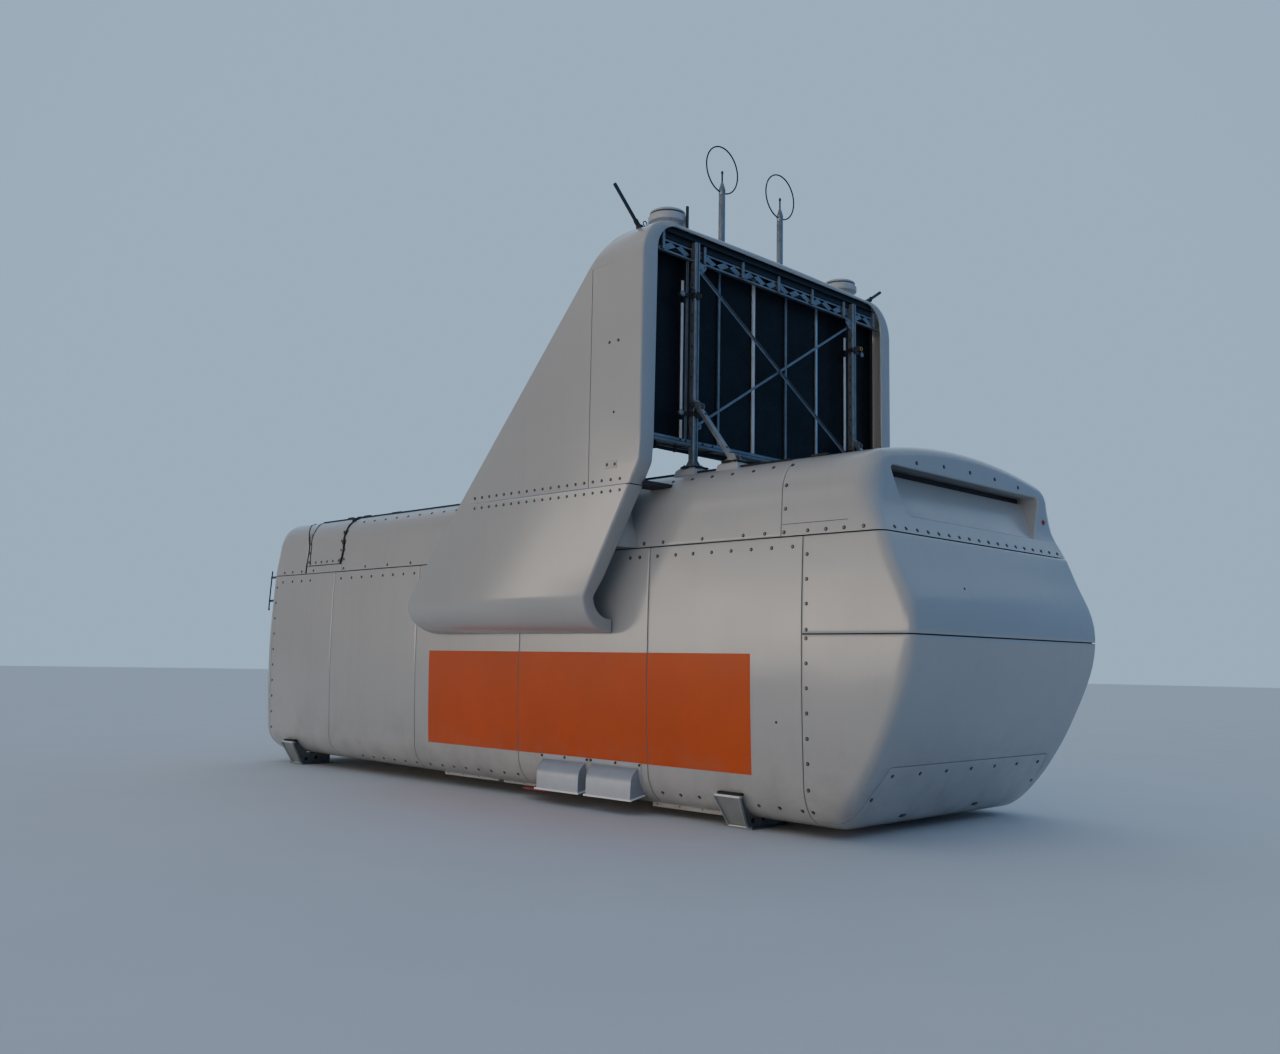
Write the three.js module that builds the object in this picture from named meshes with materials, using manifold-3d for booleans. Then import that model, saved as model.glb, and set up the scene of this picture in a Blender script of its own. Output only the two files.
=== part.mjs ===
import * as THREE from "three";
import { mergeVertices } from "three/addons/utils/BufferGeometryUtils.js";
import Module from "manifold-3d";

// A wind turbine nacelle standing on its transport feet, in millimetres.
// +X runs to the rear, -Y is the side with the orange field, +Z is up, z = 0 is the ground.

// Housing: panel seams along X, levels along Z
const SIDE_SEAMS = [-6090, -4184, -1844, 496, 2836, 5060];
const CAP_SEAM_X = -5100;
const HATCH_SEAM_X = -4020;
const REAR_ROOF_SEAM_X = 4770;
const WAIST_Z = 3107;
const REAR_SPLIT_Z = 2080;
const ROOF_EDGE_Y = 1730;
const FLOOR_EDGE_Y = 1500;
const FLOOR_TOP_Z = 215;
const FLOOR_FRONT_X = -5900;
const FLOOR_REAR_X = 5060;

// Housing cross-section: bowed wall between two round corners, crowned roof
const WALL_WIDTH = 2050;
const WALL_BOW = [0.0445, 0.0000201];
const BOTTOM_Z = 155;
const BOTTOM_ARC = { y: 1600, z: 560, r: 405 };
const SHOULDER_ARC = { y: 1590, z: 3575, r: 437 };
const SHOULDER_END_DEG = 77;
const CROWN_Z = 4165;
const WALL_LEVELS = [700, 900, 1180, 1480, 1760, 1980, 2180, 2400, 2640, 2880, 3040, 3180, 3330, 3450];

// Housing ends: x of the front and rear faces by height, and the round edge between face and wall
const REAR_FACE = [[100, 5530], [300, 5640], [600, 5840], [940, 6030], [1260, 6190], [1570, 6320], [1820, 6395],
  [2080, 6430], [2300, 6415], [2490, 6360], [2760, 6240], [3107, 6060], [3240, 5990], [3360, 5945], [3480, 5920],
  [3800, 5900], [4200, 5860]];
const FRONT_FACE = [[100, -6300], [560, -6350], [1350, -6380], [2100, -6380], [2700, -6340], [3330, -6260], [4200, -6150]];
const REAR_EDGE_R = 160;
const FRONT_EDGE_R = 280;
const FRONT_TOP_R = 420;

// Air outlet recess in the rear cap
const OUTLET = { topZ: 3835, bottomZ: 3310, topY: 1570, bottomY: 1360, depth: 420, slotZ: 3740 };

// Cover bolted over the low rear end
const REAR_COVER = { topZ: 745, topY: 1770, lowY: 2005, lowZ: 270, seamX: 5300 };

// Hub opening in the front face, closed by a dished cover
const HUB = { z: 2150, ringR: 1450, boreR: 1280, frontX: -6423, back: 6100, coverBack: 18, dish: 30 };

// Side fairings and the hood over the cooler
const HOOD = { y: 2580, top: 6980, cornerR: 480, skin: 60 };
const CURL = { startZ: 2540, r: 440, lipY: 2110 };
const HOOD_FLANGE = { depth: 60, side: 250, top: 70, innerR: 345, curl: 170 };
const FAIRING_OUTLINE = [[3160, 6980], [2694, 6980], [-710, 3270], [-1130, 2800], [-1290, 2590], [-1335, 2430],
  [-1275, 2260], [-1130, 2150], [-900, 2090], [-630, 2000], [2260, 2000], [2260, 2520], [3000, 3790], [3140, 4040],
  [3160, 4300]];
const FAIRING_SEAM_X = 2285;
const FAIRING_SEAM_Z = 3790;
const COWL_SEAM_Z = 6460;

// Cooler between the fairings
const CORE = { x0: 2770, x1: 2960, y: 2320, z0: 4340, z1: 6780 };
const GRID = { x1: 3000, bar: 36, rail: 60, centres: [-2302, -1012, -337, 337, 1012, 2302] };
const LEDGE_DROP = 110;
const BEAM = { x0: 3090, x1: 3150, z0: 4370, z1: 4440 };
const CHORD = { z0: 6600, z1: 6860, bar: 50, bays: 10 };
const POST = { y: 1648, x: 3131, size: 90, top: 6840 };
const PAD = { size: 300, height: 85 };
const STRUT = { topZ: 4830, footX: 3790, size: 64 };
const BRACE = { topZ: 6560, lowZ: 4540, width: 46, depth: 12, overrun: 22 };

// On top of the hood
const BEACON = { x: 2835, y: 1840, r: 245, height: 340 };
const MAST = { x: 2600, y: 615, r: 32, foot: 6560, ringZ: 8245, ringR: 320, wire: 13 };
const ROD = { x: 2800, y: 2290, z: 6930, out: 430, rise: 440, r: 20 };

// Under the housing
const FOOT = { rearX: 4080, frontX: -5380, length: 360, plate: 24, outY: 2090, baseOutY: 1880, baseInY: 1330, top: 370 };
const VENT = { x: [925, 1815], pitch: 890, length: 870, outY: 2275, topZ: 570, ridgeZ: 415, lowZ: 165, sheet: 14, lip: 8 };
const RAIL = { y: 1700, half: 42, z0: 96, x0: -1250, x1: 3860 };
const GUSSET = { thick: 30, topZ: 3770, waistZ: 3080, lowZ: 2800 };
const SHELF = { x0: 2750, x1: 3080, z0: 3800, z1: 3840 };

const CLEAR = 0.3;
const DEG = Math.PI / 180;

const COLOURS = {
  gelcoat: { color: 0xb9bab8, roughness: 0.28, metalness: 0 },
  galvanised: { color: 0x8d9499, roughness: 0.45, metalness: 0.85 },
  aluminium: { color: 0xa9adb3, roughness: 0.4, metalness: 0.9 },
  core: { color: 0x14181c, roughness: 0.6, metalness: 0.4 },
  beacon: { color: 0xc9ccd0, roughness: 0.35, metalness: 0 },
  darkSteel: { color: 0x23262b, roughness: 0.5, metalness: 0.6 },
};

const wasm = await Module();
wasm.setup();

// Solids and cuts

function solid(geometry) {
  const bare = geometry.clone();
  bare.deleteAttribute("normal");
  bare.deleteAttribute("uv");
  const merged = mergeVertices(bare, 1e-3);
  return new wasm.Manifold(
    new wasm.Mesh({
      numProp: 3,
      vertProperties: Float32Array.from(merged.attributes.position.array),
      triVerts: Uint32Array.from(merged.index.array),
    }),
  );
}

function boxBetween(x0, x1, y0, y1, z0, z1) {
  const g = new THREE.BoxGeometry(x1 - x0, y1 - y0, z1 - z0);
  g.translate((x0 + x1) / 2, (y0 + y1) / 2, (z0 + z1) / 2);
  return solid(g);
}

function extruded(points, depth, basis, offset) {
  const shape = new THREE.Shape(points.map(([a, b]) => new THREE.Vector2(a, b)));
  const g = new THREE.ExtrudeGeometry(shape, { depth, bevelEnabled: false, steps: 1 });
  g.applyMatrix4(basis);
  g.translate(...offset);
  return solid(g);
}

// An outline in Y and Z, carried along X
function alongX(points, x0, x1) {
  const basis = new THREE.Matrix4().makeBasis(
    new THREE.Vector3(0, 1, 0),
    new THREE.Vector3(0, 0, 1),
    new THREE.Vector3(1, 0, 0),
  );
  return extruded(points, x1 - x0, basis, [x0, 0, 0]);
}

// An outline in X and Z, carried along Y
function alongY(points, y0, y1) {
  const basis = new THREE.Matrix4().makeBasis(
    new THREE.Vector3(1, 0, 0),
    new THREE.Vector3(0, 0, 1),
    new THREE.Vector3(0, -1, 0),
  );
  return extruded(points, y1 - y0, basis, [0, y1, 0]);
}

// A square bar between two points
function bar(from, to, width, depth, sideways) {
  const a = new THREE.Vector3(...from);
  const b = new THREE.Vector3(...to);
  const g = new THREE.BoxGeometry(width, depth, a.distanceTo(b));
  const along = b.clone().sub(a).normalize();
  const side = new THREE.Vector3(...sideways).cross(along).normalize();
  const third = along.clone().cross(side);
  g.applyMatrix4(new THREE.Matrix4().makeBasis(side, third, along));
  g.translate((a.x + b.x) / 2, (a.y + b.y) / 2, (a.z + b.z) / 2);
  return solid(g);
}

function joined(parts) {
  return parts.reduce((all, part) => all.add(part));
}

function mirrored(geometryOrSolid) {
  return geometryOrSolid.mirror([0, 1, 0]);
}

function piece(name, body, look) {
  const { vertProperties, triVerts } = body.getMesh();
  const g = new THREE.BufferGeometry();
  g.setAttribute("position", new THREE.BufferAttribute(Float32Array.from(vertProperties), 3));
  g.setIndex(new THREE.BufferAttribute(Uint32Array.from(triVerts), 1));
  const mesh = new THREE.Mesh(g, new THREE.MeshStandardMaterial({ ...COLOURS[look], flatShading: true }));
  mesh.name = name;
  return mesh;
}

// Housing

function level(table, z) {
  let i = 1;
  while (i < table.length - 1 && table[i][0] < z) i += 1;
  const [z0, x0] = table[i - 1];
  const [z1, x1] = table[i];
  return x0 + ((x1 - x0) * (z - z0)) / (z1 - z0);
}

function wallHalfWidth(z) {
  const down = WAIST_Z - z;
  return WALL_WIDTH + WALL_BOW[0] * down - WALL_BOW[1] * down * down;
}

function arcPoint(arc, degrees) {
  return [arc.y + arc.r * Math.cos(degrees * DEG), arc.z + arc.r * Math.sin(degrees * DEG)];
}

function crownHeight(y) {
  const [edgeY, edgeZ] = arcPoint(SHOULDER_ARC, SHOULDER_END_DEG);
  return CROWN_Z - (CROWN_Z - edgeZ) * (y / edgeY) ** 2;
}

// Half of the cross-section, from the bottom centre line round to the crown
function halfSection() {
  const points = [[0, BOTTOM_Z], [900, BOTTOM_Z]];
  for (const degrees of [-90, -72, -54, -36, -18, -3]) points.push(arcPoint(BOTTOM_ARC, degrees));
  for (const z of WALL_LEVELS) points.push([wallHalfWidth(z), z]);
  for (const degrees of [0, 16, 32, 47, 62, SHOULDER_END_DEG]) points.push(arcPoint(SHOULDER_ARC, degrees));
  for (const y of [1250, 700, 0]) points.push([y, crownHeight(y)]);
  return points;
}

// The closed section, both halves, with an outward direction at each point
function sectionRing() {
  const half = halfSection();
  const other = half.slice(1, -1).reverse().map(([y, z]) => [-y, z]);
  const ring = [...half, ...other];
  return ring.map(([y, z], i) => {
    const [ya, za] = ring[(i + ring.length - 1) % ring.length];
    const [yb, zb] = ring[(i + 1) % ring.length];
    const length = Math.hypot(yb - ya, zb - za);
    return { y, z, ny: (zb - za) / length, nz: -(yb - ya) / length };
  });
}

function housingSolid() {
  const ring = sectionRing();
  const angles = [0, 24, 45, 66, 90];
  const rows = [];
  for (const degrees of angles) rows.push(ring.map((p) => endPoint(p, degrees, -1)));
  for (const degrees of [...angles].reverse()) rows.push(ring.map((p) => endPoint(p, degrees, 1)));
  const count = ring.length;
  const positions = rows.flat(2);
  const index = [];
  for (let r = 0; r < rows.length - 1; r += 1) {
    for (let i = 0; i < count; i += 1) {
      const j = (i + 1) % count;
      const a = r * count + i;
      const b = r * count + j;
      index.push(a, b, a + count, b, b + count, a + count);
    }
  }
  const last = (rows.length - 1) * count;
  const top = count / 2;
  for (let i = 0; i < top; i += 1) {
    const left = (count - i) % count;
    const leftUp = count - i - 1;
    const quad = [i, i + 1, leftUp, left];
    capStrip(index, quad, 0, false);
    capStrip(index, quad, last, true);
  }
  const g = new THREE.BufferGeometry();
  g.setAttribute("position", new THREE.BufferAttribute(new Float32Array(positions), 3));
  g.setIndex(index);
  return solid(g);
}

function capStrip(index, [a, b, c, d], base, rear) {
  const faces = [[a, b, c], [a, c, d]];
  for (const [p, q, r] of faces) {
    if (p === q || q === r || r === p) continue;
    if (rear) index.push(base + p, base + q, base + r);
    else index.push(base + p, base + r, base + q);
  }
}

// A point of the round edge between the wall and an end face: 0 degrees on the face, 90 on the wall
function endPoint({ y, z, ny, nz }, degrees, end) {
  const topShare = end < 0 ? THREE.MathUtils.smoothstep(z, 3300, 4000) : 0;
  const radius = end > 0 ? REAR_EDGE_R : FRONT_EDGE_R + (FRONT_TOP_R - FRONT_EDGE_R) * topShare;
  const inset = radius * (1 - Math.sin(degrees * DEG));
  const back = radius * (1 - Math.cos(degrees * DEG));
  const yIn = y - ny * inset;
  const zIn = z - nz * inset;
  const face = end > 0 ? level(REAR_FACE, zIn) : level(FRONT_FACE, zIn);
  return [face - end * back, yIn, zIn];
}

const housing = housingSolid();
const FAR = 9000;

function housingBetween(x0, x1, y0, y1, z0, z1) {
  return housing.intersect(boxBetween(x0, x1, y0, y1, z0, z1));
}

function rearCoverPrism(grow) {
  const { topZ, topY, lowY, lowZ, seamX } = REAR_COVER;
  const outline = [[-lowY, -FAR], [lowY, -FAR], [lowY, lowZ], [topY, topZ], [-topY, topZ], [-lowY, lowZ]];
  return alongX(outline.map(([y, z]) => [y, z + grow]), seamX - grow, FAR);
}

function outletCut() {
  const { topZ, bottomZ, topY, bottomY, depth, slotZ } = OUTLET;
  const face = level(REAR_FACE, bottomZ);
  const wedge = [[face + 40, bottomZ - 20], [FAR, bottomZ - 20], [FAR, topZ], [face - depth, topZ], [face - depth, slotZ]];
  const opening = [[-bottomY, bottomZ - 30], [bottomY, bottomZ - 30], [topY, topZ + 30], [-topY, topZ + 30]];
  return alongY(wedge, -topY - 50, topY + 50).intersect(alongX(opening, 4000, FAR));
}

function floorBox(grow) {
  const y = FLOOR_EDGE_Y + grow;
  return boxBetween(FLOOR_FRONT_X - grow, FLOOR_REAR_X + grow, -y, y, -FAR, FLOOR_TOP_Z + grow);
}

function housingPieces() {
  const made = new THREE.Group();
  const floorCut = floorBox(0);
  for (const [side, sign] of [["left", -1], ["right", 1]]) {
    const y0 = sign < 0 ? -FAR : 0;
    const y1 = sign < 0 ? 0 : FAR;
    SIDE_SEAMS.slice(0, -1).forEach((x0, i) => {
      const body = housingBetween(x0, SIDE_SEAMS[i + 1], y0, y1, 0, WAIST_Z);
      made.add(piece("side_panel_" + side + "_" + (i + 1), body.subtract(floorCut), "gelcoat"));
    });
    const edge0 = sign < 0 ? -FAR : ROOF_EDGE_Y;
    const edge1 = sign < 0 ? -ROOF_EDGE_Y : FAR;
    const skirt = housingBetween(HATCH_SEAM_X, REAR_ROOF_SEAM_X, edge0, edge1, WAIST_Z, FAR);
    made.add(piece("roof_skirt_" + side, skirt, "gelcoat"));
    const hatch = housingBetween(CAP_SEAM_X, HATCH_SEAM_X, y0, y1, WAIST_Z, FAR);
    made.add(piece("roof_hatch_cover_" + side, hatch, "gelcoat"));
  }
  const y = ROOF_EDGE_Y;
  const roof = housingBetween(HATCH_SEAM_X, REAR_ROOF_SEAM_X, -y, y, WAIST_Z, FAR);
  made.add(piece("roof_panel", roof, "gelcoat"));
  made.add(piece("floor_panel", housing.intersect(floorCut), "gelcoat"));

  const frontLow = housingBetween(-FAR, SIDE_SEAMS[0], -FAR, FAR, 0, WAIST_Z);
  made.add(piece("front_shell", frontLow, "gelcoat"));
  const frontTop = housingBetween(-FAR, CAP_SEAM_X, -FAR, FAR, WAIST_Z, FAR);
  made.add(piece("front_roof_cap", frontTop, "gelcoat"));

  const rearTop = housingBetween(REAR_ROOF_SEAM_X, FAR, -FAR, FAR, WAIST_Z, FAR);
  made.add(piece("rear_upper_cap", rearTop.subtract(outletCut()), "gelcoat"));
  const middle = housingBetween(SIDE_SEAMS[5], FAR, -FAR, FAR, REAR_SPLIT_Z, WAIST_Z);
  made.add(piece("rear_middle_shell", middle, "gelcoat"));
  const low = housingBetween(SIDE_SEAMS[5], FAR, -FAR, FAR, 0, REAR_SPLIT_Z);
  made.add(piece("rear_lower_shell", low.subtract(rearCoverPrism(CLEAR)), "gelcoat"));
  made.add(piece("rear_bottom_cover", low.intersect(rearCoverPrism(0)), "gelcoat"));
  return made;
}

// Hub opening: a flange ring and the cover inside it, leaning with the front face

function hubPieces() {
  const { ringR, boreR, frontX, back, coverBack, dish } = HUB;
  const depth = -back - frontX;
  const ring = [[boreR, 0], [ringR, 0], [ringR, depth], [boreR, depth], [boreR, 0]];
  const cover = [[0, coverBack], [boreR * 0.85, coverBack], [boreR - 1, coverBack + dish], [boreR - 1, depth], [0, depth]];
  const made = new THREE.Group();
  const face = FRONT_FACE.map(([z, x]) => [x - CLEAR, z]);
  const shell = alongY([...face, [0, FRONT_FACE.at(-1)[0]], [0, FRONT_FACE[0][0]]], -WALL_WIDTH, WALL_WIDTH);
  for (const [name, profile, look] of [["hub_flange", ring, "darkSteel"], ["hub_opening_cover", cover, "gelcoat"]]) {
    const points = profile.map(([r, h]) => new THREE.Vector2(r, h));
    const g = new THREE.LatheGeometry(points, 40).rotateZ(-Math.PI / 2).translate(frontX, 0, HUB.z);
    made.add(piece(name, solid(g).subtract(shell), look));
  }
  return made;
}

// Fairings and hood

// The line of the hood's skin in Y and Z on the +Y side, from the lip under the curl up to the centre line
function hoodLine(inset, curlInset) {
  const points = [];
  const r = CURL.r - curlInset;
  const arcY = HOOD.y - CURL.r;
  points.push([CURL.lipY, CURL.startZ - r]);
  for (const degrees of [-90, -72, -54, -36, -18, 0]) {
    points.push([arcY + r * Math.cos(degrees * DEG), CURL.startZ + r * Math.sin(degrees * DEG)]);
  }
  if (points[1][0] <= points[0][0]) points.shift();
  const top = HOOD.top - Math.min(inset.top, inset.side);
  const cornerR = inset.cornerR;
  const cy = HOOD.y - inset.side - cornerR;
  const cz = top - cornerR;
  for (const degrees of [0, 18, 36, 54, 72, 90]) {
    points.push([cy + cornerR * Math.cos(degrees * DEG), cz + cornerR * Math.sin(degrees * DEG)]);
  }
  points.push([0, top]);
  return points;
}

// A band of the hood's section between its outer line and one set in, carried along X over the whole fairing
function hoodBand(inset, curlInset) {
  const outer = hoodLine({ side: 0, top: 0, cornerR: HOOD.cornerR }, 0);
  const inner = hoodLine(inset, curlInset);
  const half = [...outer, ...[...inner].reverse()];
  return joined([alongX(half, -2000, 3400), mirrored(alongX(half, -2000, 3400))]);
}

function fairingSolid() {
  const skinInset = { side: HOOD.skin, top: HOOD.skin, cornerR: HOOD.cornerR - HOOD.skin };
  const flangeInset = { side: HOOD_FLANGE.side, top: HOOD_FLANGE.top, cornerR: HOOD_FLANGE.innerR };
  const side = alongY(FAIRING_OUTLINE, -FAR, FAR);
  const skin = hoodBand(skinInset, HOOD.skin).intersect(side);
  const shifted = alongY(FAIRING_OUTLINE.map(([x, z]) => [x - HOOD_FLANGE.depth, z]), -FAR, FAR);
  const rearStrip = side.subtract(shifted).intersect(boxBetween(1800, FAR, -FAR, FAR, 0, FAR));
  const flange = hoodBand(flangeInset, HOOD_FLANGE.curl).intersect(rearStrip);
  return skin.add(flange);
}

const fairing = fairingSolid();

// The fairing grown by the working clearance, to cut what is fitted inside it
function fairingClearance() {
  const moves = [[0, CLEAR, 0], [0, -CLEAR, 0], [0, 0, -CLEAR]];
  return joined(moves.map((move) => fairing.translate(move)));
}

function fairingPieces() {
  const made = new THREE.Group();
  const cut = (name, ...range) => made.add(piece(name, fairing.intersect(boxBetween(...range)), "gelcoat"));
  for (const [which, y0, y1] of [["left", -FAR, -500], ["right", 500, FAR]]) {
    cut("fairing_" + which + "_lower", -FAR, FAR, y0, y1, 0, FAIRING_SEAM_Z);
    cut("fairing_" + which + "_front", -FAR, FAIRING_SEAM_X, y0, y1, FAIRING_SEAM_Z, COWL_SEAM_Z);
    cut("fairing_" + which + "_rear", FAIRING_SEAM_X, FAR, y0, y1, FAIRING_SEAM_Z, COWL_SEAM_Z);
  }
  cut("cooler_hood", -FAR, FAR, -FAR, FAR, COWL_SEAM_Z, FAR);
  return made;
}

// Brackets between the housing and the fairings

// The inner edge of the flange, which widens from the curl to the top corner
function flangeInnerY(z) {
  const { side, top, curl, innerR } = HOOD_FLANGE;
  const share = (z - CURL.startZ) / (HOOD.top - top - innerR - CURL.startZ);
  return HOOD.y - curl - (side - curl) * share;
}

function bracketPieces() {
  const made = new THREE.Group();
  const shell = housing.translate([0, -CLEAR, 0]);
  const wallY = -(HOOD.y - HOOD.skin - CLEAR);
  const flangeY = -(flangeInnerY(SHELF.z1) - CLEAR);
  const { waistZ, lowZ, topZ, thick } = GUSSET;
  const gusset = [[-1900, waistZ], [-1900, lowZ], [wallY, lowZ + 130], [wallY, topZ], [-2046, waistZ]];
  const shelf = [[-1800, SHELF.z0], [flangeY, SHELF.z0], [flangeY, SHELF.z1], [-1800, SHELF.z1]];
  const setBack = (by) => alongY(FAIRING_OUTLINE.map(([x, z]) => [x - HOOD_FLANGE.depth - by, z]), -FAR, FAR);
  const sheet = setBack(CLEAR).subtract(setBack(CLEAR + thick)).intersect(boxBetween(2000, FAR, -FAR, FAR, 0, FAR));
  const lower = alongX(gusset, 2000, 3200).intersect(sheet).subtract(shell);
  const upper = alongX(shelf, SHELF.x0, SHELF.x1).subtract(shell.add(housing.translate([0, 0, CLEAR])));
  made.add(piece("fairing_bracket_left_lower", lower, "gelcoat"));
  made.add(piece("fairing_bracket_right_lower", mirrored(lower), "gelcoat"));
  made.add(piece("fairing_bracket_left_upper", upper, "darkSteel"));
  made.add(piece("fairing_bracket_right_upper", mirrored(upper), "darkSteel"));
  return made;
}

// Cooler

function coolerPieces() {
  const made = new THREE.Group();
  const { x0, x1, y, z0, z1 } = CORE;
  made.add(piece("radiator_cores", boxBetween(x0, x1, -y, y, z0, z1), "core"));

  const ledge = boxBetween(x1, POST.x - POST.size / 2 - CLEAR, -y, y, BEAM.z0 - LEDGE_DROP, BEAM.z0);
  made.add(piece("radiator_ledge", ledge, "darkSteel"));
  const bars = [
    boxBetween(x1, GRID.x1, -y, y, BEAM.z0, BEAM.z0 + GRID.rail),
    boxBetween(x1, GRID.x1, -y, y, z1 - GRID.rail, z1),
  ];
  for (const centre of GRID.centres) {
    bars.push(boxBetween(x1, GRID.x1, centre - GRID.bar / 2, centre + GRID.bar / 2, BEAM.z0 + 10, z1 - 10));
  }
  made.add(piece("radiator_grid", joined(bars), "aluminium"));

  const reach = flangeInnerY(BEAM.z1) - CLEAR;
  const beam = boxBetween(BEAM.x0, BEAM.x1, -reach, reach, BEAM.z0, BEAM.z1);
  const truss = topTruss(flangeInnerY(CHORD.z0) - CLEAR).subtract(fairingClearance());
  made.add(piece("cooler_bottom_beam", beam, "galvanised"));
  made.add(piece("cooler_top_truss", truss, "galvanised"));

  const roof = housing.translate([0, 0, CLEAR]);
  const before = BEAM.x0 - POST.size;
  const passing = joined([
    boxBetween(before, BEAM.x1 + CLEAR, -reach, reach, BEAM.z0 - CLEAR, BEAM.z1 + CLEAR),
    boxBetween(before, BEAM.x1 + CLEAR, -reach, reach, CHORD.z0 - CLEAR, CHORD.z1 + CLEAR),
  ]);
  for (const [side, sign] of [["left", -1], ["right", 1]]) {
    const post = postAt(sign).subtract(roof).subtract(passing);
    const strut = strutAt(sign).subtract(roof);
    made.add(piece("cooler_post_" + side, post, "galvanised"));
    made.add(piece("cooler_strut_" + side, strut, "galvanised"));
  }
  made.add(piece("cooler_brace_front", braceBar(1), "galvanised"));
  made.add(piece("cooler_brace_back", braceBar(-1), "galvanised"));
  return made;
}

function topTruss(reach) {
  const { z0, z1, bar: size, bays } = CHORD;
  const step = (2 * reach) / bays;
  const parts = [
    boxBetween(BEAM.x0, BEAM.x1, -reach, reach, z0, z0 + size),
    boxBetween(BEAM.x0, BEAM.x1, -reach + 120, reach - 120, z1 - size, z1),
  ];
  const mid = (BEAM.x0 + BEAM.x1) / 2;
  for (let i = 1; i < bays; i += 1) {
    const a = -reach + i * step;
    const rising = i % 2 === 0;
    const foot = [mid, rising ? a : a + step, z0 + size / 2];
    const head = [mid, rising ? a + step : a, z1 - size / 2];
    if (i < bays - 1) parts.push(bar(foot, head, size * 0.8, size * 0.8, [1, 0, 0]));
  }
  return joined(parts);
}

function postAt(sign) {
  const half = POST.size / 2;
  const y = sign * POST.y;
  const roofZ = crownHeight(POST.y);
  const column = boxBetween(POST.x - half, POST.x + half, y - half, y + half, roofZ - 60, POST.top);
  const pad = PAD.size / 2;
  const base = boxBetween(POST.x - pad, POST.x + pad, y - pad, y + pad, roofZ - 90, roofZ + PAD.height);
  return joined([column, base]);
}

function strutAt(sign) {
  const y = sign * POST.y;
  const roofZ = crownHeight(POST.y);
  const edge = POST.x + POST.size / 2 + CLEAR;
  const leg = bar([edge - 60, y, STRUT.topZ + 75], [STRUT.footX, y, roofZ + 10], STRUT.size, STRUT.size, [0, 1, 0]);
  const pad = PAD.size / 2;
  const base = boxBetween(STRUT.footX - pad, STRUT.footX + pad, y - pad, y + pad, roofZ - 90, roofZ + PAD.height);
  return joined([leg, base]).intersect(boxBetween(edge, FAR, -FAR, FAR, 0, FAR));
}

// One flat bar of the cross brace: the two lie back to back where they cross
function braceBar(sign) {
  const { topZ, lowZ, width, depth, overrun } = BRACE;
  const x = POST.x + (sign * (depth + CLEAR)) / 2;
  const inner = POST.y - POST.size / 2 - CLEAR;
  const stretch = POST.y + 60;
  const top = [x, -sign * stretch, topZ + overrun];
  const low = [x, sign * stretch, lowZ - overrun];
  return bar(top, low, width, depth, [1, 0, 0]).intersect(boxBetween(3000, FAR, -inner, inner, 0, FAR));
}

// Beacons, sensor masts and lightning rods on the hood

function lathed(profile, sides) {
  return new THREE.LatheGeometry(
    profile.map(([r, z]) => new THREE.Vector2(r, z)),
    sides,
  ).rotateX(Math.PI / 2);
}

function topPieces() {
  const made = new THREE.Group();
  const { r, height } = BEACON;
  const profile = [[0, 0], [r * 0.86, 0], [r * 0.86, height * 0.3], [r, height * 0.36], [r, height * 0.72],
    [r * 0.94, height * 0.74], [r * 0.9, height * 0.92], [r * 0.78, height], [0, height]];
  for (const [side, sign] of [["left", -1], ["right", 1]]) {
    const beacon = piece("beacon_" + side, solid(lathed(profile, 28)), "beacon");
    beacon.position.set(BEACON.x, sign * BEACON.y, HOOD.top + CLEAR);
    made.add(beacon);
    const mast = piece("sensor_mast_" + side, mastSolid(), "galvanised");
    mast.position.set(MAST.x, sign * MAST.y, 0);
    made.add(mast);
    const rod = piece("lightning_rod_" + side, rodSolid(sign), "darkSteel");
    rod.position.set(ROD.x, sign * ROD.y, ROD.z);
    made.add(rod);
  }
  return made;
}

function mastSolid() {
  const { r, foot, ringZ, ringR, wire } = MAST;
  const pole = [[0, foot], [r, foot], [r, ringZ - ringR + 40], [r * 0.55, ringZ - ringR + 60],
    [r * 0.55, ringZ - 120], [r * 0.9, ringZ - 110], [r * 0.9, ringZ - 20], [0, ringZ]];
  const ring = new THREE.TorusGeometry(ringR, wire, 8, 36).rotateY(Math.PI / 2).translate(0, 0, ringZ);
  const clampArm = boxBetween(0, BEAM.x0 - CLEAR - MAST.x, -25, 25, CHORD.z1 - 45, CHORD.z1 - 5);
  return joined([solid(lathed(pole, 12)), solid(ring), clampArm]);
}

function rodSolid(sign) {
  const clampBox = boxBetween(-40, 40, -40, 40, -20, 60);
  const leg = bar([0, 0, 20], [0, sign * ROD.out, ROD.rise], ROD.r * 2, ROD.r * 2, [1, 0, 0]);
  const hood = hoodBand({ side: HOOD.skin, top: HOOD.skin, cornerR: HOOD.cornerR - HOOD.skin }, HOOD.skin);
  const local = hood.translate([-ROD.x, -sign * ROD.y, -ROD.z + CLEAR]);
  return joined([leg, clampBox]).subtract(local);
}

// Feet, vent hoods and rails under the housing

function footSolid(sign) {
  const { length, plate, outY, baseOutY, baseInY, top } = FOOT;
  const shell = housing.translate([0, 0, -CLEAR]).add(housing.translate([0, sign * CLEAR, 0]));
  const half = length / 2;
  const flip = (points) => (sign > 0 ? points : points.map(([y, z]) => [-y, z]).reverse());
  const outer = flip([[baseOutY, 0], [outY, top], [outY - plate * 3.4, top], [baseOutY - plate, 0]]);
  const base = flip([[baseInY, 0], [baseOutY, 0], [baseOutY, plate], [baseInY, plate]]);
  const web = flip([[baseInY, 0], [baseOutY - 10, 0], [outY - 50, top - 40], [baseInY, top - 40]]);
  const ends = [-half, half - plate, -plate / 2];
  const parts = [alongX(outer, -half, half), alongX(base, -half - 20, half + 20)];
  for (const x of ends) parts.push(alongX(web, x, x + plate));
  const body = joined(parts);
  return { body, shell };
}

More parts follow.
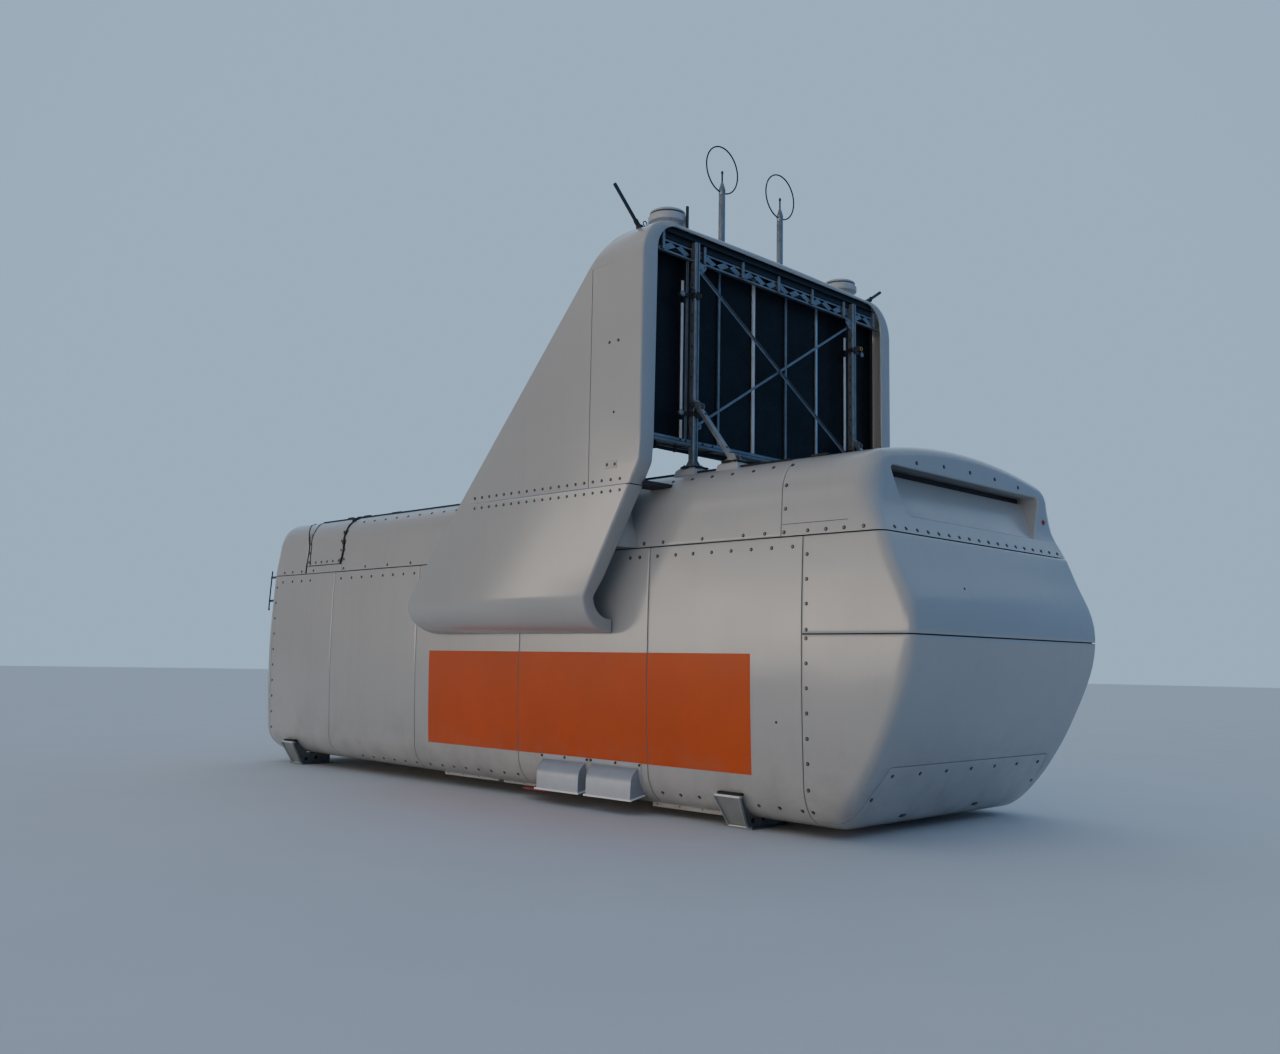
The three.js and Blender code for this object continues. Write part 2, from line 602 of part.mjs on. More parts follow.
function footPieces() {
  const made = new THREE.Group();
  for (const [side, sign] of [["left", -1], ["right", 1]]) {
    for (const [end, x] of [["rear", FOOT.rearX], ["front", FOOT.frontX]]) {
      const { body, shell } = footSolid(sign);
      made.add(piece("foot_" + end + "_" + side, body.translate([x, 0, 0]).subtract(shell), "galvanised"));
    }
  }
  return made;
}

function ventSolid(x0) {
  const { length, pitch, outY, topZ, ridgeZ, lowZ, sheet, lip } = VENT;
  const outer = [[-outY, lowZ], [-outY, ridgeZ], [-1990, topZ - 40], [-1800, topZ - 40], [-1800, 330], [-1960, 300]];
  const inner = [[-outY + sheet, lowZ - 50], [-outY + sheet, ridgeZ - sheet / 2], [-1990 + 4, topZ - 40 - sheet * 1.4],
    [-1500, topZ - 40 - sheet * 1.4], [-1500, lowZ - 50]];
  const box = alongX(outer, x0 + lip, x0 + length - lip).subtract(alongX(inner, x0 + lip + sheet, x0 + length - lip - sheet));
  const flange = alongX([[-2040, topZ - 80], [-2040, topZ], [-1700, topZ], [-1700, topZ - 80]], x0, x0 + pitch);
  const shell = housing.translate([0, -CLEAR, 0]);
  return box.add(flange).subtract(shell);
}

function underPieces() {
  const made = new THREE.Group();
  const vents = joined(VENT.x.map(ventSolid));
  made.add(piece("vent_hoods_left", vents, "aluminium"));
  made.add(piece("vent_hoods_right", mirrored(vents), "aluminium"));
  const shell = housing.translate([0, 0, -CLEAR]);
  const { x0, x1, y, half, z0 } = RAIL;
  const rail = boxBetween(x0, x1, -y - half, -y + half, z0, 300).subtract(shell);
  made.add(piece("floor_rail_left", rail, "gelcoat"));
  made.add(piece("floor_rail_right", mirrored(rail), "gelcoat"));
  return made;
}

const nacelle = new THREE.Group();
nacelle.add(housingPieces());
nacelle.add(hubPieces());
nacelle.add(fairingPieces());
nacelle.add(bracketPieces());
nacelle.add(coolerPieces());
nacelle.add(topPieces());
nacelle.add(footPieces());
nacelle.add(underPieces());

export default nacelle;
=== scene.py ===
"""A wind turbine nacelle standing on its transport feet, with its cooler under a hood.

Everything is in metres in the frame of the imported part: +X runs to the rear, -Y is the side with
the orange field and +Z is up. The classes below hold the sizes and colours a user may change, one
operator makes each group of pieces, and main() calls them in order.
"""

import math

import bmesh
import bpy
from mathutils import Matrix, Vector
from mathutils.bvhtree import BVHTree


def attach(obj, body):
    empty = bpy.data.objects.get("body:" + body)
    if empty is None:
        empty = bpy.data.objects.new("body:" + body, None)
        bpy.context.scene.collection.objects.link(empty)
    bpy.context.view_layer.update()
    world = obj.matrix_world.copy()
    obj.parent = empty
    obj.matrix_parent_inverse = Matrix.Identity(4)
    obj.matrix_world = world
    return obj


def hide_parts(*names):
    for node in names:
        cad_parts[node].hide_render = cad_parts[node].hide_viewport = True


bl_info = {
    "name": "Wind turbine nacelle",
    "version": (1, 0, 0),
    "blender": (4, 5, 0),
    "location": "3D View > Sidebar > Nacelle",
    "description": "Builds a nacelle housing with its hooded roof cooler on transport feet",
    "category": "Add Mesh",
}

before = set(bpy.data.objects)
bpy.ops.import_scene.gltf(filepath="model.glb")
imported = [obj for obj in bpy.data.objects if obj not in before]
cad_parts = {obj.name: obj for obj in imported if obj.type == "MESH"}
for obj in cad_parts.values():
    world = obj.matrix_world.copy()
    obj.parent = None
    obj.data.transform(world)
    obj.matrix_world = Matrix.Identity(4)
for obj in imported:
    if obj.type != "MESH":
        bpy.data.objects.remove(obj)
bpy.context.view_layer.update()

# Housing
SIDE_SEAMS = (-6.090, -4.184, -1.844, 0.496, 2.836, 5.060)
CAP_SEAM_X = -5.100
HATCH_SEAM_X = -4.020
REAR_ROOF_SEAM_X = 4.770
WAIST_Z = 3.107
REAR_SPLIT_Z = 2.080
ROOF_EDGE_Y = 1.730
FLOOR_EDGE_Y = 1.500
HATCH_SILL_Z = 3.235
WALL_WIDTH = 2.050
WALL_BOW = (0.0445, 0.0201)
BOTTOM_Z = 0.155
# Centre in Y and Z, and radius
BOTTOM_ARC = (1.6085, 0.582, 0.427)
SHOULDER_ARC = (1.590, 3.575, 0.437)
SHOULDER_START_DEG = 4.0
SHOULDER_END_DEG = 77.0
CROWN_Z = 4.165
# (height, x) pairs down the middle of the end faces
REAR_FACE = ((0.100, 5.448), (0.300, 5.568), (0.450, 5.668), (0.600, 5.770), (0.770, 5.872), (0.940, 5.966),
             (1.260, 6.117), (1.570, 6.250), (1.820, 6.330), (2.080, 6.367), (2.300, 6.354), (2.490, 6.298),
             (2.760, 6.175), (3.107, 6.035), (3.240, 5.963), (3.360, 5.910), (3.480, 5.883), (3.800, 5.863),
             (4.200, 5.830))
FRONT_FACE = ((0.100, -6.300), (0.560, -6.350), (1.350, -6.380), (2.100, -6.380), (2.700, -6.340),
              (3.330, -6.305), (4.200, -6.225))
# Radius of the end faces' round edge: low down, from the shoulder up, and on the roof
REAR_EDGE_R = (0.110, 0.230, 0.110)
REAR_LOW_EXTRA_R = 0.060
FRONT_EDGE_R = (0.280, 0.350, 0.270)
BOTTOM_TILT = (0.030, -0.064)
EDGE_BAND = 0.030
END_ANGLES = (0, 10, 20, 30, 40, 50, 60, 70, 80, 90)
SEALANT_STEP_Z = 3.02
SEALANT_END_X = 4.7
OUTLET_TOP_Z = 3.835
OUTLET_BOTTOM_Z = 3.316
OUTLET_TOP_Y = 1.618
OUTLET_BOTTOM_Y = 1.425
OUTLET_LEDGE = 0.030
OUTLET_DEPTH = 0.220
OUTLET_SLOT_Z = 3.768
OUTLET_MOUTH_R = 0.016
COVER_TOP_Z = 0.760
COVER_TOP_Y = 1.675
COVER_LOW_Y = 1.815
COVER_LOW_Z = 0.250
COVER_SEAM_X = 5.060

# Hub opening
HUB_Z = 2.150
HUB_RING_R = 1.450
HUB_BORE_R = 1.280
HUB_FRONT_X = -6.423

# Fairings and hood
HOOD_Y = 2.580
HOOD_TOP = 6.980
HOOD_CROWN = 0.034
HOOD_CORNER_R = 0.480
HOOD_SIDE_Z = (2.56, 2.59, 2.65, 2.72, 2.80, 2.90, 3.0, 3.14, 3.27, 3.45, 3.62, 3.74, 3.79, 3.86, 3.97, 4.02, 4.06,
               4.15, 4.24, 4.30, 4.36, 4.7, 5.1, 5.5, 5.9, 6.2, 6.40, 6.46)
CURL_Z = 2.540
CURL_R = 0.440
CURL_LIP_Y = 2.110
FLANGE_SIDE = 0.250
FLANGE_CURL = 0.170
# (height, width) of the rear flange
FLANGE_WIDTH = ((2.540, 0.170), (2.750, 0.207), (3.800, 0.226), (6.400, 0.250))
FLANGE_TOP = 0.040
FLANGE_INNER_R = 0.345
# (height, x) of the fairing's front and rear edges
FAIRING_FRONT = ((1.960, -1.060), (2.000, -1.100), (2.090, -1.195), (2.150, -1.268), (2.260, -1.332),
                 (2.430, -1.352), (2.590, -1.290), (2.800, -1.130), (3.270, -0.710), (6.980, 2.694))
FAIRING_REAR = ((1.960, 2.260), (2.520, 2.260), (3.790, 3.000), (4.040, 3.140), (4.300, 3.160), (7.000, 3.160))
# Height, outer x, x at the housing and half width of the housing there
GUSSET = ((3.775, 2.890, 2.405, 1.980), (3.600, 2.800, 2.465, 2.026), (3.430, 2.710, 2.525, 2.036),
          (3.270, 2.625, 2.580, 2.043), (3.110, 2.540, 2.634, 2.050))
FAIRING_SEAM_X = 2.310
FAIRING_SEAM_Z = 3.790
COWL_SEAM_Z = 6.460
COWL_GAP = 0.0006

# Cooler
CORE_X = (2.770, 2.960)
CORE_Y = 2.375
CORE_Z = (4.340, 6.780)
CORE_SLITS_Y = (-1.700, 1.700)
CLAMPS_Z = (6.170, 4.720)
MULLIONS_Y = (-1.020, -0.340, 0.340, 1.020)
BEAM_X = (3.090, 3.150)
BEAM_Z = (4.326, 4.398)
CHORD_Z = (6.600, 6.860)
POST_X = 3.131
POST_Y = 1.648
POST_SIZE = 0.090
POST_TOP = 6.840
STRUT_FOOT_X = 3.790
STRUT_TOP_Z = 4.830
BRACE_Z = (4.540, 6.560)

# On the hood
BEACON_X = 2.835
# Distance from the middle on each side
BEACON_Y = {-1: 1.840, 1: 1.775}
MAST_X = 2.650
MAST_Y = 0.615
MAST_RING_Z = 8.245
MAST_RING_R = 0.312
# Foot, outward reach and rise on each side
RODS = {-1: ((2.800, 2.290, 6.930), 0.430, 0.440), 1: ((3.060, 2.115, 6.985), 0.363, 0.250)}

# Under the housing
# End, x and height of the feet
FEET = (("rear", 4.080, 0.352), ("front", -5.380, 0.362))
RAIL_Y = 1.700
RAIL_X = (-1.484, 3.860)
VENT_X = ((0.958, 1.828), (1.864, 2.728))

# Orange field
FIELD_X = (-1.500, 4.380)
FIELD_Z = (0.593, 1.874)

# Camera: its place, then its turn, tilt and roll in degrees
CAMERA_AT = (12.434, -11.859, 1.771)
CAMERA_ANGLES = (44.8996, 6.5393, 0.9975)

SIDES = (("left", -1), ("right", 1))
UP, REARWARDS, FORWARDS = (0, 0, 1), (1, 0, 0), (-1, 0, 0)


# Curves and sections


def turned(degrees):
    """The cosine and sine of an angle in degrees."""
    angle = math.radians(degrees)
    return math.cos(angle), math.sin(angle)


def steps(a, b, count):
    return [a + (b - a) * i / count for i in range(count + 1)]


def row_after(table, at):
    """The row of a table that ends the stretch which holds a place."""
    row = 1
    while row < len(table) - 1 and table[row][0] < at:
        row += 1
    return row


def linear(table, at):
    """The value of a table of (place, value) pairs, straight between its rows."""
    row = row_after(table, at)
    (p0, v0), (p1, v1) = table[row - 1], table[row]
    return v0 + (v1 - v0) * (at - p0) / (p1 - p0)


def smooth(table, at):
    """The value of a table on a curve that runs through all its rows without a kink."""
    row = row_after(table, at)
    (p0, v0), (p1, v1) = table[row - 1], table[row]
    if not p0 <= at <= p1:
        return linear(table, at)

    def slope(i):
        (pa, va), (pb, vb) = table[max(i - 1, 0)], table[min(i + 1, len(table) - 1)]
        return (vb - va) / (pb - pa)

    h = p1 - p0
    t = (at - p0) / h
    return (v0 * (1 + 2 * t) * (1 - t) ** 2 + slope(row - 1) * h * t * (1 - t) ** 2
            + v1 * t * t * (3 - 2 * t) - slope(row) * h * t * t * (1 - t))


def blend_step(at, low, high):
    t = min(max((at - low) / (high - low), 0.0), 1.0)
    return t * t * (3 - 2 * t)


def arc_point(arc, degrees):
    y, z, r = arc
    c, s = turned(degrees)
    return y + r * c, z + r * s


def circle(centre, radius, count, shift=0.0):
    """Points round a circle that faces along X, turned on by a share of a step."""
    x, y, z = centre
    angles = [math.tau * (i + shift) / count for i in range(count)]
    return [Vector((x, y + radius * math.cos(a), z + radius * math.sin(a))) for a in angles]


def wall_half_width(z):
    down = WAIST_Z - z
    return WALL_WIDTH + WALL_BOW[0] * down - WALL_BOW[1] * down * down


def crown_height(y):
    edge_y, edge_z = arc_point(SHOULDER_ARC, SHOULDER_END_DEG)
    return CROWN_Z - (CROWN_Z - edge_z) * (y / edge_y) ** 2


def half_section():
    """Half of the housing's section, from the bottom centre line round to the crown."""
    points = [(y, BOTTOM_Z) for y in steps(0, 1.5, 5)]
    points += [arc_point(BOTTOM_ARC, d) for d in steps(-90, -2.5, 11)]
    points += [(wall_half_width(z), z) for z in steps(0.63, 3.55, 25)]
    points += [arc_point(SHOULDER_ARC, d) for d in steps(SHOULDER_START_DEG, SHOULDER_END_DEG, 13)]
    points += [(y, crown_height(y)) for y in steps(1.5, 0, 6)]
    return points


def section_ring():
    """The closed section with an outward direction at each point."""
    half = half_section()
    ring = half + [(-y, z) for y, z in reversed(half[1:-1])]
    made = []
    for i, (y, z) in enumerate(ring):
        ya, za = ring[i - 1]
        yb, zb = ring[(i + 1) % len(ring)]
        length = math.hypot(yb - ya, zb - za)
        made.append((y, z, (zb - za) / length, (ya - yb) / length))
    return made


def end_point(point, degrees, end, further=0.0):
    """A point of the round edge between wall and end face: 0 degrees on the face, 90 on the wall."""
    y, z, ny, nz = point
    low_r, high_r, roof_r = REAR_EDGE_R if end > 0 else FRONT_EDGE_R
    radius = low_r + (high_r - low_r) * blend_step(z, 3.1, 3.7)
    radius += (roof_r - radius) * blend_step(nz, 0.35, 0.95)
    if end > 0:
        radius += REAR_LOW_EXTRA_R * (1 - blend_step(z, 0.25, 1.10))
    c, s = turned(degrees)
    inset = radius * (1 - s) + (further if degrees < 45 else 0)
    back = radius * (1 - c) + (further if degrees > 45 else 0)
    y_in, z_in = y - ny * inset, z - nz * inset
    z_in += BOTTOM_TILT[end > 0] * (1 - blend_step(z_in, 0.20, 0.75))
    face = smooth(REAR_FACE if end > 0 else FRONT_FACE, z_in)
    return Vector((face - end * back, y_in, z_in))


def skin_faces(bm, one, two, shift=0):
    """Faces between two closed rows of points; a row of one point closes them to a fan."""
    count = max(len(one), len(two))
    for i in range(count):
        j = (i + 1) % count
        quad = (one[(i + shift) % len(one)], one[(j + shift) % len(one)], two[j % len(two)], two[i % len(two)])
        bm.faces.new(list(dict.fromkeys(quad)))


def housing_mesh(inset=0.0):
    """The whole housing as one closed bmesh, or one set in by a distance all round."""
    ring = section_ring()
    rows = [[end_point(p, 0, -1, 0.05) for p in ring]]
    rows += [[end_point(p, d, -1) for p in ring] for d in END_ANGLES]
    rows += [[end_point(p, 90, end, 0.05) for p in ring] for end in (-1, 1)]
    rows += [[end_point(p, d, 1) for p in ring] for d in reversed(END_ANGLES)]
    rows += [[end_point(p, 0, 1, 0.05) for p in ring]]
    bm = bmesh.new()
    grid = [[bm.verts.new(co) for co in row] for row in rows]
    for lower, upper in zip(grid, grid[1:]):
        skin_faces(bm, lower, upper)
    count = len(ring)
    for row in (grid[0], grid[-1]):
        for i in range(count // 2):
            quad = (row[i], row[i + 1], row[count - i - 1], row[(count - i) % count])
            bm.faces.new(list(dict.fromkeys(quad)))
    bmesh.ops.recalc_face_normals(bm, faces=bm.faces[:])
    if inset:
        grow(bm, -inset)
    return bm


def grow(bm, distance):
    """Moves each point out along its normal."""
    bm.normal_update()
    for vert in bm.verts:
        vert.co += vert.normal * distance


# Mesh helpers


def as_mesh(name, bm):
    """A mesh made of a bmesh, which is freed."""
    mesh = bpy.data.meshes.new(name)
    bm.to_mesh(mesh)
    bm.free()
    return mesh


def placed(name, data):
    """A new object in the scene."""
    obj = bpy.data.objects.new(name, data)
    bpy.context.scene.collection.objects.link(obj)
    return obj


def bevelled(bm, width):
    if width:
        bmesh.ops.bevel(bm, geom=bm.edges[:], offset=width, segments=1, affect="EDGES")


class Kit:
    """A mesh under construction with more than one material."""

    def __init__(self):
        self.bm = bmesh.new()
        self.materials = []

    def take(self, part, material):
        """Adds another bmesh, with all its faces in one material, and frees it."""
        if material not in self.materials:
            self.materials.append(material)
        bmesh.ops.recalc_face_normals(part, faces=part.faces[:])
        for face in part.faces:
            face.material_index = self.materials.index(material)
        mesh = as_mesh("part", part)
        self.bm.from_mesh(mesh)
        bpy.data.meshes.remove(mesh)

    def block(self, place, material, bevel=0.0):
        """A unit cube carried by a matrix, with its edges taken off."""
        part = bmesh.new()
        bmesh.ops.create_cube(part, size=1, matrix=place)
        bevelled(part, bevel)
        self.take(part, material)

    def box(self, low, high, material, bevel=0.0):
        size = [b - a for a, b in zip(low, high)]
        centre = [(a + b) / 2 for a, b in zip(low, high)]
        self.block(Matrix.Translation(centre) @ Matrix.Diagonal((*size, 1)), material, bevel)

    def side_box(self, sign, low, high, material, bevel=0.0):
        """A box given for the +Y side, or its mirror image on the other one."""
        (x0, y0, z0), (x1, y1, z1) = low, high
        y0, y1 = sorted((sign * y0, sign * y1))
        self.box((x0, y0, z0), (x1, y1, z1), material, bevel)

    def slat(self, xs, y, half, zs, material, bevel=0.0):
        """A box that reaches half its width to each side of y."""
        self.box((xs[0], y - half, zs[0]), (xs[1], y + half, zs[1]), material, bevel)

    def bar(self, a, b, width, depth, side, material, bevel=0.0):
        """A flat or square bar from a to b; width is measured along side."""
        a, b, side = Vector(a), Vector(b), Vector(side)
        along = (b - a).normalized()
        side = (side - along * side.dot(along)).normalized()
        turn = Matrix((side, along.cross(side), along)).transposed().to_4x4()
        size = Matrix.Diagonal((width, depth, (b - a).length, 1))
        self.block(Matrix.Translation((a + b) / 2) @ turn @ size, material, bevel)

    def prism(self, outline, axis, low, high, material, bevel=0.0):
        """A closed outline in the two other axes, carried along one axis."""
        part = bmesh.new()
        order = {"X": (2, 0, 1), "Y": (0, 2, 1), "Z": (0, 1, 2)}[axis]
        ends = []
        for at in (low, high):
            points = [(a, b, at) for a, b in outline]
            ends.append([part.verts.new([p[i] for i in order]) for p in points])
            part.faces.new(ends[-1])
        skin_faces(part, *ends)
        bevelled(part, bevel)
        self.take(part, material)

    def web(self, outline, y):
        """A zinc plate of 8 mm that stands across Y."""
        self.prism(outline, "Y", y - 0.004, y + 0.004, "Zinc")

    def lathe(self, profile, base, axis, material, count=32):
        """Turns (radius, height) pairs about an axis through base; radius 0 closes an end."""
        part = bmesh.new()
        turn = Vector(axis).normalized().to_track_quat("Z", "Y").to_matrix().to_4x4()
        place = Matrix.Translation(base) @ turn
        angles = [math.tau * i / count for i in range(count)]
        rows = []
        for r, h in profile:
            spots = [(r * math.cos(a), r * math.sin(a), h) for a in angles] if r > 1e-6 else [(0, 0, h)]
            rows.append([part.verts.new(place @ Vector(p)) for p in spots])
        pairs = list(zip(rows, rows[1:]))
        if len(rows[0]) > 1 or len(rows[-1]) > 1:
            pairs.append((rows[-1], rows[0]))
        for one, two in pairs:
            skin_faces(part, one, two)
        self.take(part, material)

    def stud(self, at, axis, radius, height, material, sides=6):
        """A plain round or six-sided head."""
        self.lathe([(0, 0), (radius, 0), (radius, height), (0, height)], at, axis, material, sides)

    def nut(self, at, axis, washer, head, height):
        """A six-sided head on its washer."""
        self.lathe([(0, 0), (washer, 0), (washer, 0.004), (head, 0.005), (head, height), (0, height)], at, axis,
                   "Bolt steel", 6)

    def tube(self, path, radius, material, count=12, closed=False):
        """A round tube along a path, closed on itself or with flat ends."""
        part = bmesh.new()
        points = [Vector(p) for p in path]
        total = len(points)
        frames, side = [], None
        for i, point in enumerate(points):
            before = points[i - 1] if closed or i else points[0]
            after = points[(i + 1) % total] if closed or i < total - 1 else points[-1]
            along = (after - before).normalized()
            if side is None:
                side = along.orthogonal().normalized()
            side = (side - along * side.dot(along)).normalized()
            frames.append((point, side, along.cross(side)))
        radii = radius if isinstance(radius, (list, tuple)) else [radius] * total
        angles = [math.tau * k / count for k in range(count)]
        rows = [[part.verts.new(point + (s * math.cos(a) + t * math.sin(a)) * r) for a in angles]
                for (point, s, t), r in zip(frames, radii)]
        for one, two in zip(rows, rows[1:]):
            skin_faces(part, one, two)
        if closed:
            start, (_, s, t) = frames[0][1], frames[-1]
            turn = math.atan2(start.dot(t), start.dot(s))
            skin_faces(part, rows[-1], rows[0], round(turn / math.tau * count))
        else:
            part.faces.new(rows[0])
            part.faces.new(rows[-1])
        self.take(part, material)

    def loft(self, rings, material):
        """Skins closed rings of the same count, with an end face at each end."""
        part = bmesh.new()
        rows = [[part.verts.new(co) for co in ring] for ring in rings]
        for one, two in zip(rows, rows[1:]):
            skin_faces(part, one, two)
        part.faces.new(rows[0])
        part.faces.new(rows[-1])
        self.take(part, material)

    def finish(self, name, nodes=(), angle=32.0):
        mesh = as_mesh(name, self.bm)
        for material in self.materials:
            mesh.materials.append(finish_material(material))
        return add_piece(name, mesh, nodes, angle)


def add_piece(name, mesh, nodes=(), angle=32.0):
    """Puts a finished mesh on the root body, in place of the CAD nodes that it stands for."""
    mesh.shade_smooth()
    mesh.set_sharp_from_angle(angle=math.radians(angle))
    obj = placed(name, mesh)
    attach(obj, "root")
    if nodes:
        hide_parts(*nodes)
    return obj


def baked(obj):
    """The object's mesh with its modifiers applied, as a new mesh."""
    depsgraph = bpy.context.evaluated_depsgraph_get()
    return bpy.data.meshes.new_from_object(obj.evaluated_get(depsgraph))


def with_modifiers(bm, make):
    """A bmesh turned into a mesh through modifiers that make(obj) adds."""
    mesh = as_mesh("work", bm)
    obj = placed("work", mesh)
    make(obj)
    result = baked(obj)
    bpy.data.objects.remove(obj)
    bpy.data.meshes.remove(mesh)
    return result


def cut(bm, at, outward, clear=True, fill=False):
    """Cuts along the plane through at, and clears what is on the side that outward points to."""
    geometry = bm.verts[:] + bm.edges[:] + bm.faces[:]
    found = bmesh.ops.bisect_plane(bm, geom=geometry, plane_co=at, plane_no=outward, clear_outer=clear)
    if fill:
        edges = [e for e in found["geom_cut"] if isinstance(e, bmesh.types.BMEdge) and e.is_boundary]
        if edges:
            bmesh.ops.holes_fill(bm, edges=edges, sides=0)


def slab(x0=None, x1=None, y0=None, y1=None, z0=None, z1=None, gap=0.0):
    """The cutting planes of a box, each set in by a gap."""
    planes = []
    for axis, (low, high) in enumerate(((x0, x1), (y0, y1), (z0, z1))):
        normal = Vector((0, 0, 0))
        normal[axis] = 1
        if low is not None:
            planes.append((normal * (low + gap), -normal))
        if high is not None:
            planes.append((normal * (high - gap), normal))
    return planes


def beyond(sign, y):
    """The bound of a slab that keeps what lies beyond y on one side of the housing."""
    return {"y1": -y} if sign < 0 else {"y0": y}


def housing_tree():
    bm = housing_mesh()
    tree = BVHTree.FromBMesh(bm)
    bm.free()
    return tree


HOUSING_TREE = housing_tree()


def on_housing(origin, direction):
    """The point of the housing that a straight line meets, with its outward normal."""
    hit, normal, _, _ = HOUSING_TREE.ray_cast(Vector(origin), Vector(direction))
    if hit is None:
        raise RuntimeError(f"nothing of the housing lies beyond {tuple(origin)}")
    return hit, normal


def on_side(x, z, sign=-1):
    return on_housing((x, sign * 6, z), (0, -sign, 0))


def on_rear(y, z):
    return on_housing((9, y, z), (-1, 0, 0))


def on_roof(x, y):
    return on_housing((x, y, 9), (0, 0, -1))


def on_shoulder(x, degrees, sign):
    """A point on the round shoulder: 0 degrees is the top of the wall, 77 the edge of the roof."""
    y, z, _ = SHOULDER_ARC
    c, s = turned(degrees)
    out = Vector((0, sign * c, s))
    return on_housing(Vector((x, sign * y, z)) + out * 2, -out)


def lifted(places, lift):
    """Points of the housing, each raised a little along its normal."""
    return [hit + normal * lift for hit, normal in places]


# Materials


def add_node(tree, kind, inputs=(), **settings):
    """A new node; an input given as another node's socket is linked, any other is set."""
    node = tree.nodes.new(kind)
    for name, value in settings.items():
        setattr(node, name, value)
    for key, value in dict(inputs).items():
        if isinstance(value, bpy.types.NodeSocket):
            tree.links.new(value, node.inputs[key])
        else:
            node.inputs[key].default_value = value
    return node


def mixed(tree, share, a, b):
    """A blend of two colours, each a socket or three numbers."""
    ends = {6 + i: (*end, 1) if isinstance(end, tuple) else end for i, end in enumerate((a, b))}
    return add_node(tree, "ShaderNodeMix", {"Factor": share, **ends}, data_type="RGBA").outputs[2]


class Finish:
    """A material under construction, with short words for the node set-ups that it is made of."""

    def __init__(self, name):
        self.material = bpy.data.materials.new(name)
        self.material.use_nodes = True
        self.tree = self.material.node_tree
        self.tree.nodes.clear()
        self.shader = add_node(self.tree, "ShaderNodeBsdfPrincipled")
        add_node(self.tree, "ShaderNodeOutputMaterial", {"Surface": self.shader.outputs["BSDF"]})
        self.coords = add_node(self.tree, "ShaderNodeTexCoord").outputs["Object"]

    def texture(self, kind, stretch, out, **values):
        where = add_node(self.tree, "ShaderNodeMapping", {"Vector": self.coords, "Scale": stretch})
        return add_node(self.tree, kind, {"Vector": where.outputs["Vector"], **values}).outputs[out]

    def noise(self, scale, detail=3.0, rough=0.5, stretch=(1, 1, 1)):
        return self.texture("ShaderNodeTexNoise", stretch, "Fac", Scale=scale, Detail=detail, Roughness=rough)

    def height(self):
        return add_node(self.tree, "ShaderNodeSeparateXYZ", {"Vector": self.coords}).outputs["Z"]

    def spread(self, value, low, high, to_low=0.0, to_high=1.0):
        ends = {"From Min": low, "From Max": high, "To Min": to_low, "To Max": to_high}
        return add_node(self.tree, "ShaderNodeMapRange", {"Value": value, **ends}).outputs["Result"]

    def times(self, a, b, operation="MULTIPLY"):
        return add_node(self.tree, "ShaderNodeMath", {0: a, 1: b}, operation=operation).outputs["Value"]

    def mix(self, share, a, b):
        return mixed(self.tree, share, a, b)

    def bump(self, height, strength, distance):
        values = {"Strength": strength, "Distance": distance, "Height": height}
        self.put(add_node(self.tree, "ShaderNodeBump", values).outputs["Normal"], "Normal")

    def put(self, value, socket):
        """Links or sets an input of the surface."""
        if isinstance(value, bpy.types.NodeSocket):
            self.tree.links.new(value, self.shader.inputs[socket])
        else:
            self.shader.inputs[socket].default_value = value


def shade(colour, factor, lift=0.0):
    return tuple(min(c * factor + lift, 1) for c in colour)


def gelcoat(name, colour, dirt=(0.20, 0.19, 0.17)):
    """Glossy light grey gelcoat: long soft waves, print-through of the cloth, dust low down and streaks."""
    g = Finish(name)
    base = g.mix(g.spread(g.noise(0.35, 4, 0.55), 0.35, 0.65), shade(colour, 0.93), colour)
    low = g.spread(g.height(), 1.25, 0.1)
    patch = g.spread(g.noise(2.2, 6, 0.62), 0.42, 0.72)
    streak = g.spread(g.noise(1.0, 5, 0.6, (7, 7, 0.35)), 0.52, 0.82)
    stained = g.mix(g.times(g.times(low, patch), 0.45), base, dirt)
    streaked = g.mix(g.times(streak, 0.07), stained, dirt)
    speck = g.spread(g.noise(42, 2, 0.5), 0.71, 0.77)
    g.put(g.mix(g.times(speck, 0.10), streaked, dirt), "Base Color")
    gloss = g.spread(g.noise(1.1, 3, 0.5), 0.3, 0.7, 0.12, 0.18)
    g.put(g.times(gloss, g.times(patch, 0.04), "ADD"), "Roughness")
    g.put(0.62, "Specular IOR Level")
    weave = g.noise(26, 2, 0.4)
    swell = g.noise(0.8, 2, 0.4, (1, 1, 1.8))
    g.bump(g.times(g.times(weave, 0.004), swell, "ADD"), 0.35, 0.02)
    return g.material


def galvanised(name, colour):
    """Hot-dip zinc: spangle, dull patches and a little white bloom."""
    g = Finish(name)
    spangle = g.texture("ShaderNodeTexVoronoi", (1, 1, 0.6), "Color", Scale=34)
    bloom = g.spread(g.noise(5, 5, 0.6), 0.38, 0.66)
    base = g.mix(g.spread(spangle, 0.0, 1.0), shade(colour, 0.72), colour)
    g.put(g.mix(g.times(bloom, 0.45), base, shade(colour, 1.45)), "Base Color")
    g.put(g.spread(spangle, 0.0, 1.0, 0.34, 0.56), "Roughness")
    g.put(0.75, "Metallic")
    g.bump(g.noise(60, 3, 0.5), 0.12, 0.002)
    return g.material


def bright_sheet(name, colour):
    """Mill-finish aluminium with a fine rolled grain and finger marks."""
    g = Finish(name)
    grain = g.noise(30, 4, 0.6, (0.4, 6, 6))
    marks = g.spread(g.noise(4, 4, 0.6), 0.4, 0.7)
    g.put(g.mix(g.times(marks, 0.5), colour, shade(colour, 0.78)), "Base Color")
    g.put(g.spread(grain, 0.3, 0.7, 0.26, 0.46), "Roughness")
    g.put(0.85, "Metallic")
    g.bump(grain, 0.08, 0.001)
    return g.material


